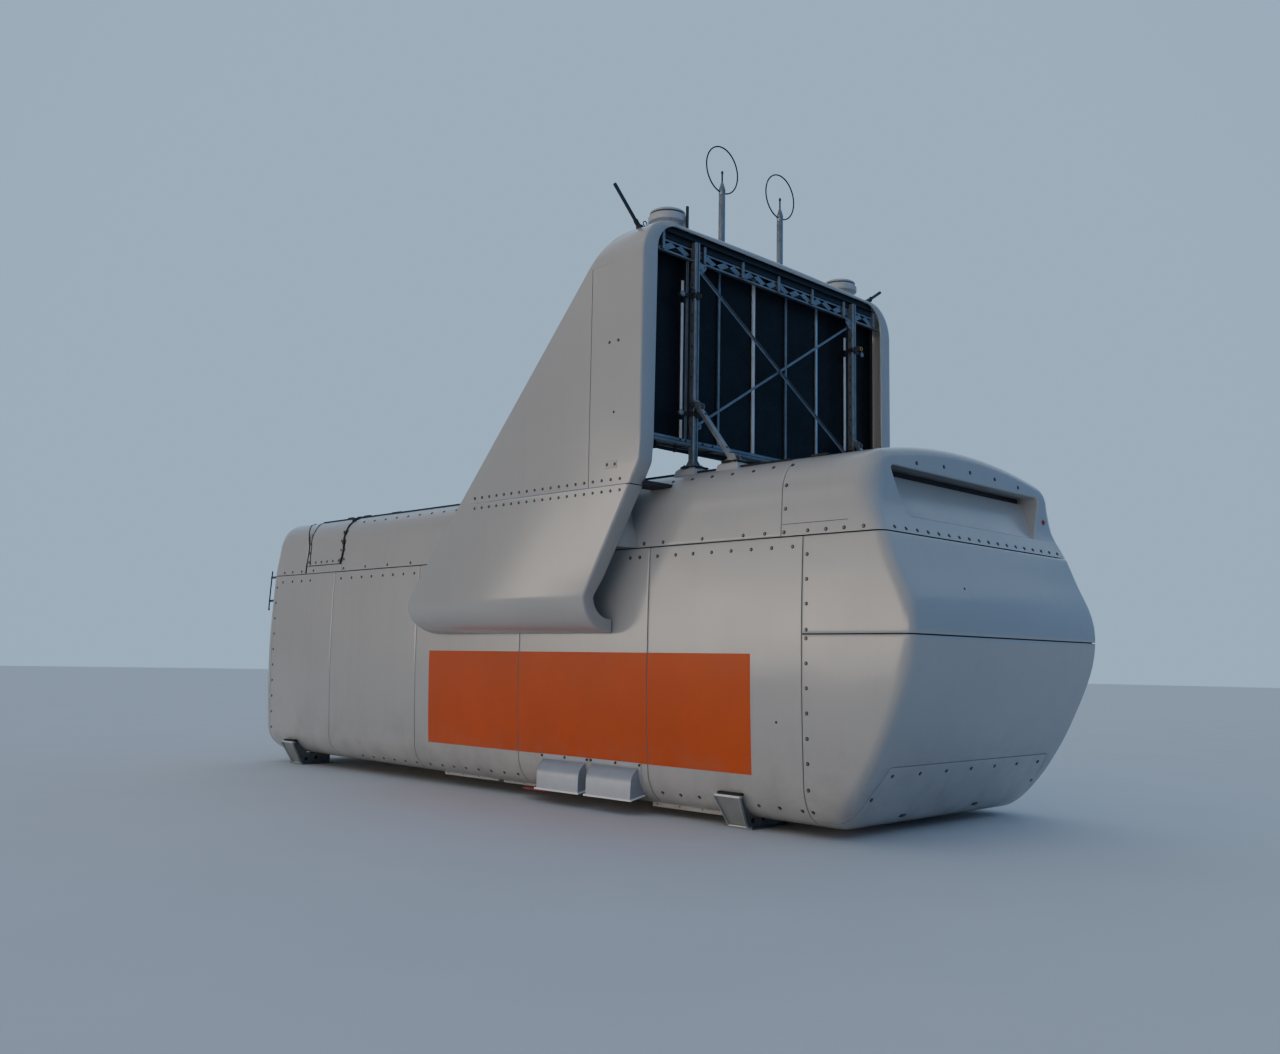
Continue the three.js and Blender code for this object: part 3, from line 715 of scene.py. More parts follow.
def dull(name, colour, rough, metallic, scale=9.0, spread=0.35):
    """Paint, rubber or plastic with a mottled tone and a fine tooth."""
    g = Finish(name)
    mottle = g.spread(g.noise(scale, 5, 0.6), 0.35, 0.68)
    g.put(g.mix(mottle, colour, shade(colour, 1 + spread, 0.004)), "Base Color")
    g.put(g.spread(g.noise(scale * 2, 4, 0.6), 0.3, 0.7, rough - 0.07, rough + 0.09), "Roughness")
    g.put(metallic, "Metallic")
    g.bump(g.noise(scale * 9, 3, 0.5), 0.18, 0.0015)
    return g.material


def orange_film(name, colour):
    """Plain satin film, a little faded in patches, with dust along its lower edge."""
    g = Finish(name)
    faded = g.spread(g.noise(0.9, 5, 0.6), 0.35, 0.7)
    base = g.mix(faded, colour, shade(colour, 0.86, 0.004))
    dust = g.times(g.spread(g.height(), 0.95, 0.55), g.spread(g.noise(3.0, 5, 0.6), 0.4, 0.7))
    g.put(g.mix(g.times(dust, 0.28), base, (0.30, 0.20, 0.14)), "Base Color")
    g.put(g.spread(g.noise(2.5, 4, 0.6), 0.3, 0.7, 0.30, 0.42), "Roughness")
    g.put(0.25, "Specular IOR Level")
    g.bump(g.noise(1.6, 3, 0.5, (1, 1, 2)), 0.18, 0.012)
    return g.material


# Colour, roughness and metal share of the plain finishes, then for some the scale and depth of the mottle
DULL_FINISHES = {
    "Vent sheet": ((0.36, 0.40, 0.46), 0.36, 0.35, 9.0, 0.1),
    "Foot plate": ((0.26, 0.275, 0.27), 0.5, 0.3, 6.0, 0.2),
    "Radiator black": ((0.006, 0.009, 0.013), 0.5, 0.2, 5.0),
    "Dark steel": ((0.030, 0.032, 0.036), 0.45, 0.3),
    "Black rubber": ((0.010, 0.010, 0.011), 0.62, 0.0, 14.0),
    "Sealant": ((0.028, 0.028, 0.029), 0.75, 0.0, 11.0),
    "Bolt steel": ((0.16, 0.16, 0.17), 0.38, 0.7, 20.0, 0.3),
    "Bolt dark": ((0.016, 0.016, 0.018), 0.55, 0.2, 20.0),
    "Brass": ((0.20, 0.13, 0.04), 0.5, 0.6, 20.0),
    "Red paint": ((0.24, 0.034, 0.032), 0.6, 0.0, 12.0),
    "Yellow paint": ((0.42, 0.30, 0.04), 0.5, 0.0, 12.0),
    "Pale plastic": ((0.40, 0.42, 0.44), 0.30, 0.0, 7.0, 0.12),
    "White paint": ((0.62, 0.62, 0.60), 0.45, 0.0, 4.0, 0.12),
    "White strip": ((0.86, 0.87, 0.88), 0.4, 0.0, 6.0, 0.05),
    "Lens": ((0.05, 0.06, 0.07), 0.12, 0.0, 5.0),
    "Studio floor": ((0.70, 0.70, 0.695), 0.80, 0.0, 0.6, 0.03),
}


def finish_material(name):
    """The material of that name, made when it is first asked for."""
    found = bpy.data.materials.get(name)
    if found:
        return found
    if name in DULL_FINISHES:
        return dull(name, *DULL_FINISHES[name])
    look = bpy.context.scene.nacelle_look
    if name == "Gelcoat":
        return gelcoat(name, tuple(look.gelcoat))
    if name == "Zinc":
        return galvanised(name, tuple(look.zinc))
    if name == "Orange film":
        return orange_film(name, tuple(look.orange))
    if name == "Bright sheet":
        return bright_sheet(name, (0.62, 0.64, 0.67))
    raise RuntimeError(f"there is no finish called {name}")


# Settings


def length(name, description, default):
    return bpy.props.FloatProperty(name=name, description=description, default=default, unit="LENGTH")


def amount(name, description, default):
    return bpy.props.FloatProperty(name=name, description=description, default=default)


def colour(name, description, default):
    return bpy.props.FloatVectorProperty(
        name=name, description=description, subtype="COLOR", size=3, min=0, max=1, default=default)


class NacelleHousingSettings(bpy.types.PropertyGroup):
    """Sizes of the moulded panels."""

    gap: length("Seam gap", "Open width between two panels", 0.012)
    thickness: length("Panel thickness", "Thickness of the moulded panels", 0.030)
    edge: length("Panel edge", "How far the panel edges are rounded", 0.006)
    skin: length("Fairing skin", "Thickness of the fairing and hood skin", 0.028)


class NacelleCoolerSettings(bpy.types.PropertyGroup):
    """Sizes of the radiators and their frame."""

    fin_pitch: length("Fin pitch", "Distance between radiator fins", 0.024)
    fin_thickness: length("Fin thickness", "Thickness of one radiator fin", 0.005)
    slit: length("Open slit", "Width of the open slits beside the posts", 0.036)


class NacelleBoltSettings(bpy.types.PropertyGroup):
    """Sizes of the bolts and their washers."""

    washer_radius: length("Washer radius", "Radius of the sealing washers", 0.021)
    head_radius: length("Head radius", "Radius across the corners of a bolt head", 0.0120)
    head_height: length("Head height", "Height of a bolt head", 0.011)


class NacelleLookSettings(bpy.types.PropertyGroup):
    """Colours of the main finishes."""

    gelcoat: colour("Gelcoat", "Colour of the housing", (0.43, 0.428, 0.415))
    orange: colour("Orange film", "Colour of the plain field on the side", (0.585, 0.081, 0.007))
    zinc: colour("Zinc", "Colour of the galvanised steel", (0.245, 0.27, 0.295))


class NacelleStageSettings(bpy.types.PropertyGroup):
    """Light and camera."""

    key: amount("Key light", "Strength of the large soft light", 0.10)
    overhead: amount("Overhead light", "Strength of the wide light from above", 0.50)
    sky: amount("Surrounding light", "Strength of the pale surroundings", 1.0)
    lens: amount("Lens", "Focal length of the camera in millimetres", 32.97)


SETTINGS = {
    "nacelle_housing": NacelleHousingSettings,
    "nacelle_cooler": NacelleCoolerSettings,
    "nacelle_bolts": NacelleBoltSettings,
    "nacelle_look": NacelleLookSettings,
    "nacelle_stage": NacelleStageSettings,
}


# Housing


def half_gap():
    return bpy.context.scene.nacelle_housing.gap / 2


def thicken(obj, thickness, offset):
    wall = obj.modifiers.new("Thickness", "SOLIDIFY")
    wall.thickness = thickness
    wall.offset = offset


def panel(name, planes, hole=(), covers=True):
    """A moulded panel: the part of the housing's surface between planes, with thickness and soft edges.

    It stands for the CAD node of its name, unless it covers none.
    """
    sizes = bpy.context.scene.nacelle_housing
    bm = housing_mesh()
    for at, outward in planes:
        cut(bm, at, outward)
        cut(bm, at - outward * EDGE_BAND, outward, clear=False)
    for at, outward in hole:
        cut(bm, at, outward, clear=False)
    if hole:
        inside = [f for f in bm.faces
                  if all((f.calc_center_median() - at).dot(outward) < 0 for at, outward in hole)]
        bmesh.ops.delete(bm, geom=inside, context="FACES")
    bmesh.ops.remove_doubles(bm, verts=bm.verts[:], dist=0.004)

    def shape(obj):
        thicken(obj, sizes.thickness, -1)
        edge = obj.modifiers.new("Edges", "BEVEL")
        edge.width = sizes.edge
        edge.segments = 2
        edge.limit_method = "ANGLE"
        edge.angle_limit = math.radians(50)
        edge.use_clamp_overlap = True

    mesh = with_modifiers(bm, shape)
    mesh.materials.append(finish_material("Gelcoat"))
    return add_piece(name + "_moulding", mesh, [name] if covers else ())


def rear_cover_planes(wider):
    """The planes round the cover over the low rear end."""
    lean = Vector((0, COVER_TOP_Z - COVER_LOW_Z, COVER_LOW_Y - COVER_TOP_Y)).normalized()
    left = Vector((0, -lean.y, lean.z))
    edge = Vector((0, COVER_TOP_Y, COVER_TOP_Z))
    return [
        (Vector((COVER_SEAM_X - wider, 0, 0)), Vector((-1, 0, 0))),
        (Vector((0, 0, COVER_TOP_Z + wider)), Vector((0, 0, 1))),
        (edge + lean * wider, lean),
        (Vector((0, -edge.y, edge.z)) + left * wider, left),
    ]


def outlet_cutter():
    """The recess of the rear outlet: a rounded mouth, slanted sides, a floor that rises to a dark slot."""
    levels = [(-0.06, OUTLET_MOUTH_R * 0.9)]
    for c, s in map(turned, (20, 40, 60, 80)):
        levels.append((0.004 + OUTLET_MOUTH_R * (1 - c), OUTLET_MOUTH_R * (1 - s)))
    levels += [(depth, 0) for depth in (OUTLET_LEDGE, 0.05, 0.09, 0.13, 0.17, OUTLET_DEPTH)] + [(0.60, -0.001)]
    rings = []
    for depth, wider in levels:
        share = min(max(depth - OUTLET_LEDGE, 0) / (OUTLET_DEPTH - OUTLET_LEDGE), 1)
        low = OUTLET_BOTTOM_Z + (OUTLET_SLOT_Z - OUTLET_BOTTOM_Z) * share - wider
        high = OUTLET_TOP_Z + wider
        corner_r = min(0.06, (high - low) * 0.4)
        ring = []
        for start, sy, sz in ((180, -1, -1), (270, 1, -1), (0, 1, 1), (90, -1, 1)):
            z = low if sz < 0 else high
            span = (z - OUTLET_BOTTOM_Z) / (OUTLET_TOP_Z - OUTLET_BOTTOM_Z)
            y = OUTLET_BOTTOM_Y + (OUTLET_TOP_Y - OUTLET_BOTTOM_Y) * span + wider
            for c, s in map(turned, steps(start, start + 90, 5)):
                py, pz = sy * (y - corner_r) + corner_r * c, z - sz * corner_r + corner_r * s
                ring.append(Vector((smooth(REAR_FACE, pz) - depth, py, pz)))
        rings.append(ring)
    kit = Kit()
    kit.loft(rings, "Gelcoat")
    return kit.bm


def rear_cap():
    """The cap over the upper rear end, with the outlet cut into it."""
    bm = housing_mesh()
    for at, outward in slab(x0=REAR_ROOF_SEAM_X, z0=WAIST_Z, gap=half_gap()):
        cut(bm, at, outward, fill=True)
    bmesh.ops.recalc_face_normals(bm, faces=bm.faces[:])
    cutter_mesh = as_mesh("outlet", outlet_cutter())
    cutter = placed("outlet", cutter_mesh)

    def carve(obj):
        taken = obj.modifiers.new("Outlet", "BOOLEAN")
        taken.operation = "DIFFERENCE"
        taken.object = cutter
        taken.solver = "EXACT"

    mesh = with_modifiers(bm, carve)
    bpy.data.objects.remove(cutter)
    bpy.data.meshes.remove(cutter_mesh)
    mesh.materials.clear()
    mesh.materials.append(finish_material("Gelcoat"))
    return add_piece("rear_upper_cap_moulding", mesh, ["rear_upper_cap"], 30.0)


class NACELLE_OT_panels(bpy.types.Operator):
    """Make the moulded side, roof, floor and end panels of the housing."""

    bl_idname = "nacelle.panels"
    bl_label = "Housing panels"

    def execute(self, context):
        gap = half_gap()
        front, rear = SIDE_SEAMS[0], SIDE_SEAMS[-1]
        for side, sign in SIDES:
            for i, (x0, x1) in enumerate(zip(SIDE_SEAMS, SIDE_SEAMS[1:]), 1):
                panel(f"side_panel_{side}_{i}",
                      slab(x0=x0, x1=x1, z1=WAIST_Z, gap=gap, **beyond(sign, FLOOR_EDGE_Y)))
            panel(f"roof_skirt_{side}",
                  slab(x0=HATCH_SEAM_X, x1=REAR_ROOF_SEAM_X, z0=WAIST_Z, gap=gap, **beyond(sign, ROOF_EDGE_Y)))
            hatch = {"x0": CAP_SEAM_X, "x1": HATCH_SEAM_X, "gap": gap, **beyond(sign, 0)}
            panel(f"roof_hatch_cover_{side}", slab(z0=HATCH_SILL_Z, **hatch))
            panel(f"hatch_sill_{side}", slab(z0=WAIST_Z, z1=HATCH_SILL_Z, **hatch), covers=False)
        panel("roof_panel",
              slab(x0=HATCH_SEAM_X, x1=REAR_ROOF_SEAM_X, y0=-ROOF_EDGE_Y, y1=ROOF_EDGE_Y, z0=WAIST_Z, gap=gap))
        panel("floor_panel", slab(x0=front, x1=rear, y0=-FLOOR_EDGE_Y, y1=FLOOR_EDGE_Y, z1=1.0, gap=gap))
        panel("front_shell", slab(x1=front, z1=WAIST_Z, gap=gap))
        panel("front_roof_cap", slab(x1=CAP_SEAM_X, z0=WAIST_Z, gap=gap))
        panel("rear_middle_shell", slab(x0=rear, z0=REAR_SPLIT_Z, z1=WAIST_Z, gap=gap))
        panel("rear_lower_shell", slab(x0=rear, z1=REAR_SPLIT_Z, gap=gap), hole=rear_cover_planes(gap * 0.5))
        panel("rear_bottom_cover",
              slab(x0=COVER_SEAM_X, z1=REAR_SPLIT_Z, gap=gap) + rear_cover_planes(-gap * 0.5)[1:])
        return {"FINISHED"}


class NACELLE_OT_rear_cap(bpy.types.Operator):
    """Make the rear upper cap with its air outlet, and a black plate deep in its slot as painted shade."""

    bl_idname = "nacelle.rear_cap"
    bl_label = "Rear cap and outlet"

    def execute(self, context):
        rear_cap()
        kit = Kit()
        x = smooth(REAR_FACE, 3.78) - OUTLET_DEPTH
        rise = (OUTLET_SLOT_Z + 0.004, OUTLET_TOP_Z - 0.004)
        # Painted shade: a black plate deep in the slot stands for the shade inside the outlet.
        kit.slat((x - 0.30, x - 0.025), 0, 1.56, rise, "Black rubber", 0.004)
        kit.finish("outlet_slot_shade_plate")
        return {"FINISHED"}


class NACELLE_OT_sealant(bpy.types.Operator):
    """Make the dark sealant behind the seams of the housing."""

    bl_idname = "nacelle.sealant"
    bl_label = "Seam sealant"

    def execute(self, context):
        bm = housing_mesh(inset=context.scene.nacelle_housing.thickness + 0.006)
        for vert in bm.verts:
            if vert.co.z > SEALANT_STEP_Z and vert.co.x > SEALANT_END_X:
                vert.co.x = SEALANT_END_X
        mesh = as_mesh("seam_sealant", bm)
        mesh.materials.append(finish_material("Sealant"))
        add_piece("seam_sealant", mesh)
        return {"FINISHED"}


# Fairings and hood


def flange_inner_y(z):
    return HOOD_Y - linear(FLANGE_WIDTH, min(max(z, CURL_Z), FLANGE_WIDTH[-1][0]))


def hood_top(y):
    return HOOD_TOP + HOOD_CROWN * (1 - min(abs(y) / 2.10, 1.0) ** 2)


def hood_line():
    """Stations from the lip under the curl up to the centre line: outer point, inner flange point and
    the direction into the hood, each in Y and Z, on the +Y side."""
    lip_z = CURL_Z - CURL_R
    stations = [((CURL_LIP_Y, lip_z), (CURL_LIP_Y, lip_z + FLANGE_CURL), (0, 1))]

    def bend(outer, inner, angles):
        for d in angles:
            c, s = turned(d)
            stations.append((arc_point(outer, d), arc_point(inner, d), (-c, -s)))

    curl = (HOOD_Y - CURL_R, CURL_Z)
    bend((*curl, CURL_R), (*curl, CURL_R - FLANGE_CURL), steps(-90, 0, 14))
    stations += [((HOOD_Y, z), (flange_inner_y(z), z), (-1, 0)) for z in HOOD_SIDE_Z]
    bend((HOOD_Y - HOOD_CORNER_R, HOOD_TOP - HOOD_CORNER_R, HOOD_CORNER_R),
         (HOOD_Y - FLANGE_SIDE - FLANGE_INNER_R, HOOD_TOP - FLANGE_TOP - FLANGE_INNER_R, FLANGE_INNER_R),
         steps(0, 90, 12))
    for y in (1.9, 1.6, 1.25, 0.9, 0.6, 0.3, 0.0):
        stations.append(((y, hood_top(y)), (y, HOOD_TOP - FLANGE_TOP), (0, -1)))
    return stations


def skin_ring(station, x0, x1, nose, flange):
    """One closed ring across the skin at a station: outer face, rear flange or cut edge, inner face."""
    (oy, oz), (iy, iz), inward = station
    t = bpy.context.scene.nacelle_housing.skin
    width = math.hypot(iy - oy, iz - oz)
    across = Vector((0, iy - oy, iz - oz)) / width
    ring = []

    def put(x, depth, direction=Vector((0, *inward))):
        ring.append(Vector((x, 0, 0)) + Vector((0, oy, oz)) + direction * depth)

    if nose:
        r = t / 2
        for c, s in map(turned, (-90, -60, -30, 0, 30, 60, 90)):
            put(x0 + r - r * c, r - r * s)
    else:
        for share in (1.0, 0.8, 0.6, 0.5, 0.4, 0.2, 0.0):
            put(x0, t * share)
    if flange:
        r, edge = 0.030, 0.012
        for c, s in map(turned, (0, 22.5, 45, 67.5, 90)):
            put(x1 - r + r * s, r - r * c, across)
        for c, s in map(turned, (0, 45, 90, 135, 180)):
            put(x1 - edge + edge * c, width - edge + edge * s, across)
        put(x1 - 2 * edge, min(t + 0.03, width - edge - 0.004), across)
        put(x1 - 2 * edge - 0.02, t)
    else:
        for share in (0.0, 0.1, 0.2, 0.3, 0.4, 0.5, 0.6, 0.7, 0.8, 0.9, 0.95, 1.0):
            put(x1, t * share)
    return ring


def fairing_piece(name, low, high=None, front_x=None, rear_x=None):
    """The stretch of the skin between two heights, once for each side; with no upper height it runs
    over the top in one. front_x and rear_x cut it at the upright seam."""
    half = half_gap()
    low_cut = low + (COWL_GAP if low == COWL_SEAM_Z else half)
    high_cut = high - (COWL_GAP if high == COWL_SEAM_Z else half) if high else math.inf

    def moved(station, z):
        (oy, _), _, inward = station
        return (oy, z), (flange_inner_y(z), z), inward

    run = [s for s in hood_line() if low_cut + 1e-4 < s[0][1] < high_cut - 1e-4]
    if low > CURL_Z:
        run.insert(0, moved(run[0], low_cut))
    if high:
        run.append(moved(run[-1], high_cut))
        made = [(name.replace("SIDE", side), run, sign) for side, sign in SIDES]
    else:
        mirrored = [tuple((-y, z) for y, z in station) for station in run]
        made = [(name, mirrored + run[-2::-1], 1)]
    for node, stations, sign in made:
        rings = []
        for station in stations:
            z = station[0][1]
            x0 = front_x or (smooth if z < 2.8 else linear)(FAIRING_FRONT, z)
            x1 = rear_x or linear(FAIRING_REAR, z)
            ring = skin_ring(station, x0, x1, front_x is None, rear_x is None)
            rings.append([Vector((p.x, p.y * sign, p.z)) for p in ring])
        kit = Kit()
        kit.loft(rings, "Gelcoat")
        kit.finish(node + "_moulding", [node], 34.0)


class NACELLE_OT_fairings(bpy.types.Operator):
    """Make the two side fairings and the hood over the cooler."""

    bl_idname = "nacelle.fairings"
    bl_label = "Fairings and hood"

    def execute(self, context):
        half = half_gap()
        fairing_piece("fairing_SIDE_lower", 0, FAIRING_SEAM_Z)
        fairing_piece("fairing_SIDE_front", FAIRING_SEAM_Z, COWL_SEAM_Z, rear_x=FAIRING_SEAM_X - half)
        fairing_piece("fairing_SIDE_rear", FAIRING_SEAM_Z, COWL_SEAM_Z, front_x=FAIRING_SEAM_X + half)
        fairing_piece("cooler_hood", COWL_SEAM_Z)
        for side, sign in SIDES:
            rings = []
            for z, out_x, hull_x, hull_y in GUSSET:
                front = [Vector((out_x, sign * 2.500, z)), Vector((hull_x, sign * (hull_y - 0.012), z))]
                rings.append(front + [p + Vector((0.010, 0, 0)) for p in reversed(front)])
            kit = Kit()
            kit.loft(rings, "Gelcoat")
            name = f"fairing_bracket_{side}_lower"
            kit.finish(name + "_plate", [name])
        return {"FINISHED"}


# Node trees for what repeats


def shape_tree(name, source, result, values):
    """A new node tree from one geometry and named values to one geometry, with its inputs' sockets."""
    tree = bpy.data.node_groups.new(name, "GeometryNodeTree")
    kinds = [(source, "Geometry"), *values.items()]
    for label, kind in kinds:
        tree.interface.new_socket(label, in_out="INPUT", socket_type="NodeSocket" + kind)
    tree.interface.new_socket(result, in_out="OUTPUT", socket_type="NodeSocketGeometry")
    return tree, add_node(tree, "NodeGroupInput").outputs


def painted(tree, geometry, look):
    inputs = {"Geometry": geometry, "Material": finish_material(look)}
    return add_node(tree, "GeometryNodeSetMaterial", inputs).outputs["Geometry"]


def copies(tree, points, instance, **more):
    """Copies of a shape on points, made real."""
    inputs = {"Points": points, "Instance": instance, **more}
    found = add_node(tree, "GeometryNodeInstanceOnPoints", inputs).outputs["Instances"]
    return add_node(tree, "GeometryNodeRealizeInstances", {"Geometry": found}).outputs["Geometry"]


def apply_tree(name, mesh, tree, values):
    """The plain mesh that a node tree makes of a mesh, as a piece."""
    work = placed(name + "_points", mesh)
    modifier = work.modifiers.new("Nodes", "NODES")
    modifier.node_group = tree
    for item in tree.interface.items_tree:
        if item.item_type == "SOCKET" and item.in_out == "INPUT" and item.name in values:
            modifier[item.identifier] = values[item.name]
    result = baked(work)
    work.modifiers.clear()
    bpy.data.objects.remove(work)
    bpy.data.meshes.remove(mesh)
    if not result.polygons:
        raise RuntimeError(f"the node tree of {name} made no faces")
    return add_piece(name, result)


def stacked(name, points, widths, material, values):
    """A stack of thin plates above each point, as wide as the point's own width."""
    tree, start = shape_tree(name + "_tree", "Starts", "Plates",
                             {"Count": "Int", "Pitch": "Float", "Plate size": "Vector"})
    offset = add_node(tree, "ShaderNodeCombineXYZ", {"Z": start["Pitch"]}).outputs["Vector"]
    line = add_node(tree, "GeometryNodeMeshLine", {"Count": start["Count"], "Offset": offset}).outputs["Mesh"]
    plate = add_node(tree, "GeometryNodeMeshCube", {"Size": start["Plate size"]}).outputs["Mesh"]
    width = add_node(tree, "GeometryNodeInputNamedAttribute", {"Name": "width"}, data_type="FLOAT")
    stretch = add_node(tree, "ShaderNodeCombineXYZ", {"X": 1, "Y": width.outputs["Attribute"], "Z": 1})
    plates = copies(tree, copies(tree, start["Starts"], line), plate, Scale=stretch.outputs["Vector"])
    add_node(tree, "NodeGroupOutput", {"Plates": painted(tree, plates, material)})
    mesh = bpy.data.meshes.new(name)
    mesh.from_pydata(points, [], [])
    mesh.attributes.new("width", "FLOAT", "POINT").data.foreach_set("value", widths)
    return apply_tree(name, mesh, tree, values)


# Cooler


def core_spans():
    """The Y range of each of the seven cores."""
    slit = bpy.context.scene.nacelle_cooler.slit / 2
    edges = [(-CORE_Y, 0.0)]
    edges += [(y, slit if y in CORE_SLITS_Y else 0.012) for y in sorted((*CORE_SLITS_Y, *MULLIONS_Y))]
    edges.append((CORE_Y, 0.0))
    return [(a + half_a, b - half_b) for (a, half_a), (b, half_b) in zip(edges, edges[1:])]


class NACELLE_OT_radiators(bpy.types.Operator):
    """Make the seven radiator cores with their fins, bars and ledge."""

    bl_idname = "nacelle.radiators"
    bl_label = "Radiators"

    def execute(self, context):
        self.cores(context.scene.nacelle_cooler)
        self.bars()
        self.ledge()
        return {"FINISHED"}

    def cores(self, sizes):
        (x0, x1), (z0, z1) = CORE_X, CORE_Z
        kit = Kit()
        starts, widths = [], []
        for a, b in core_spans():
            kit.box((x0 + 0.012, a, z0 + 0.02), (x1 - 0.012, b, z1 - 0.02), "Radiator black", 0.006)
            for low, high in ((z0, z0 + 0.06), (z1 - 0.06, z1)):
                kit.box((x0, a, low), (x1 + 0.004, b, high), "Radiator black", 0.008)
            for y in (a, b - 0.014):
                kit.box((x0, y, z0 + 0.05), (x1 + 0.002, y + 0.014, z1 - 0.05), "Radiator black", 0.002)
            starts.append(((x0 + x1) / 2, (a + b) / 2, z0 + 0.075))
            widths.append(b - a - 0.03)
        kit.slat((x1 - 0.030, x1 - 0.006), 0, CORE_Y, (z1 - 0.004, 6.900), "Radiator black", 0.002)
        kit.finish("radiator_cores_bodies", ["radiator_cores"])
        stacked("radiator_cores_fins", starts, widths, "Radiator black",
                {"Count": int((z1 - z0 - 0.14) / sizes.fin_pitch), "Pitch": sizes.fin_pitch,
                 "Plate size": (x1 - x0 - 0.004, 1.0, sizes.fin_thickness)})

    def bars(self):
        """The upright bars in front of the cores, and the rails across their ends."""
        x1, (z0, z1) = CORE_X[1], CORE_Z
        kit = Kit()
        looks = (0.018, "Zinc"), (0.025, "White paint"), (0.018, "Zinc"), (0.021, "Bright sheet")
        for y, (half, look) in zip(MULLIONS_Y, looks):
            kit.slat((x1 - 0.004, x1 + 0.022), y, half, (z0 + 0.05, z1 - 0.02), look, 0.003)
        upper, lower = CLAMPS_Z
        for y in CORE_SLITS_Y:
            for rise in ((z0 + 0.06, lower - 0.05), (lower + 0.05, upper - 0.05), (upper + 0.05, 6.40)):
                kit.slat((x1 + 0.002, x1 + 0.020), y, 0.017, rise, "White strip", 0.002)
        for sign in (-1, 1):
            y = sign * (CORE_Y - 0.02)
            kit.slat((x1 - 0.002, x1 + 0.03), y, 0.018, (z0 + 0.03, z1), "Dark steel", 0.003)
        for low in (BEAM_Z[0], z1 - 0.05):
            kit.slat((x1 + 0.002, x1 + 0.038), 0, CORE_Y, (low, low + 0.05), "Zinc", 0.004)
        kit.finish("radiator_grid_bars", ["radiator_grid"])

    def ledge(self):
        """The ledge under the cores, and the hose that hangs below it between its clips."""
        (x0, x1), z0 = CORE_X, CORE_Z[0]
        post = POST_X - POST_SIZE / 2 - 0.004
        kit = Kit()
        kit.slat((x0, x1 + 0.03), 0, CORE_Y, (z0 - 0.024, z0 - 0.002), "Dark steel", 0.005)
        for y in steps(-2.25, 2.25, 9):
            kit.slat((x1 + 0.02, post), y, 0.02, (z0 - 0.020, z0 - 0.004), "Dark steel", 0.003)
        kit.slat((post - 0.026, post), 0, CORE_Y, (z0 - 0.012, z0 + 0.02), "Dark steel", 0.003)
        sag = [(3.030, y, 4.276 - 0.008 * math.cos(3.1 * y)) for y in steps(-2.28, 2.28, 48)]
        kit.tube(sag, 0.021, "Black rubber", 14)
        for y in (-2.2, -1.86, -1.46, -0.9, -0.3, 0.3, 0.9, 1.46, 1.86, 2.2):
            kit.slat((3.004, 3.058), y, 0.010, (4.244, 4.300), "Bolt dark", 0.006)
            kit.slat((3.018, 3.044), y, 0.006, (4.294, 4.330), "Dark steel", 0.002)
        kit.finish("radiator_ledge_rail", ["radiator_ledge"])


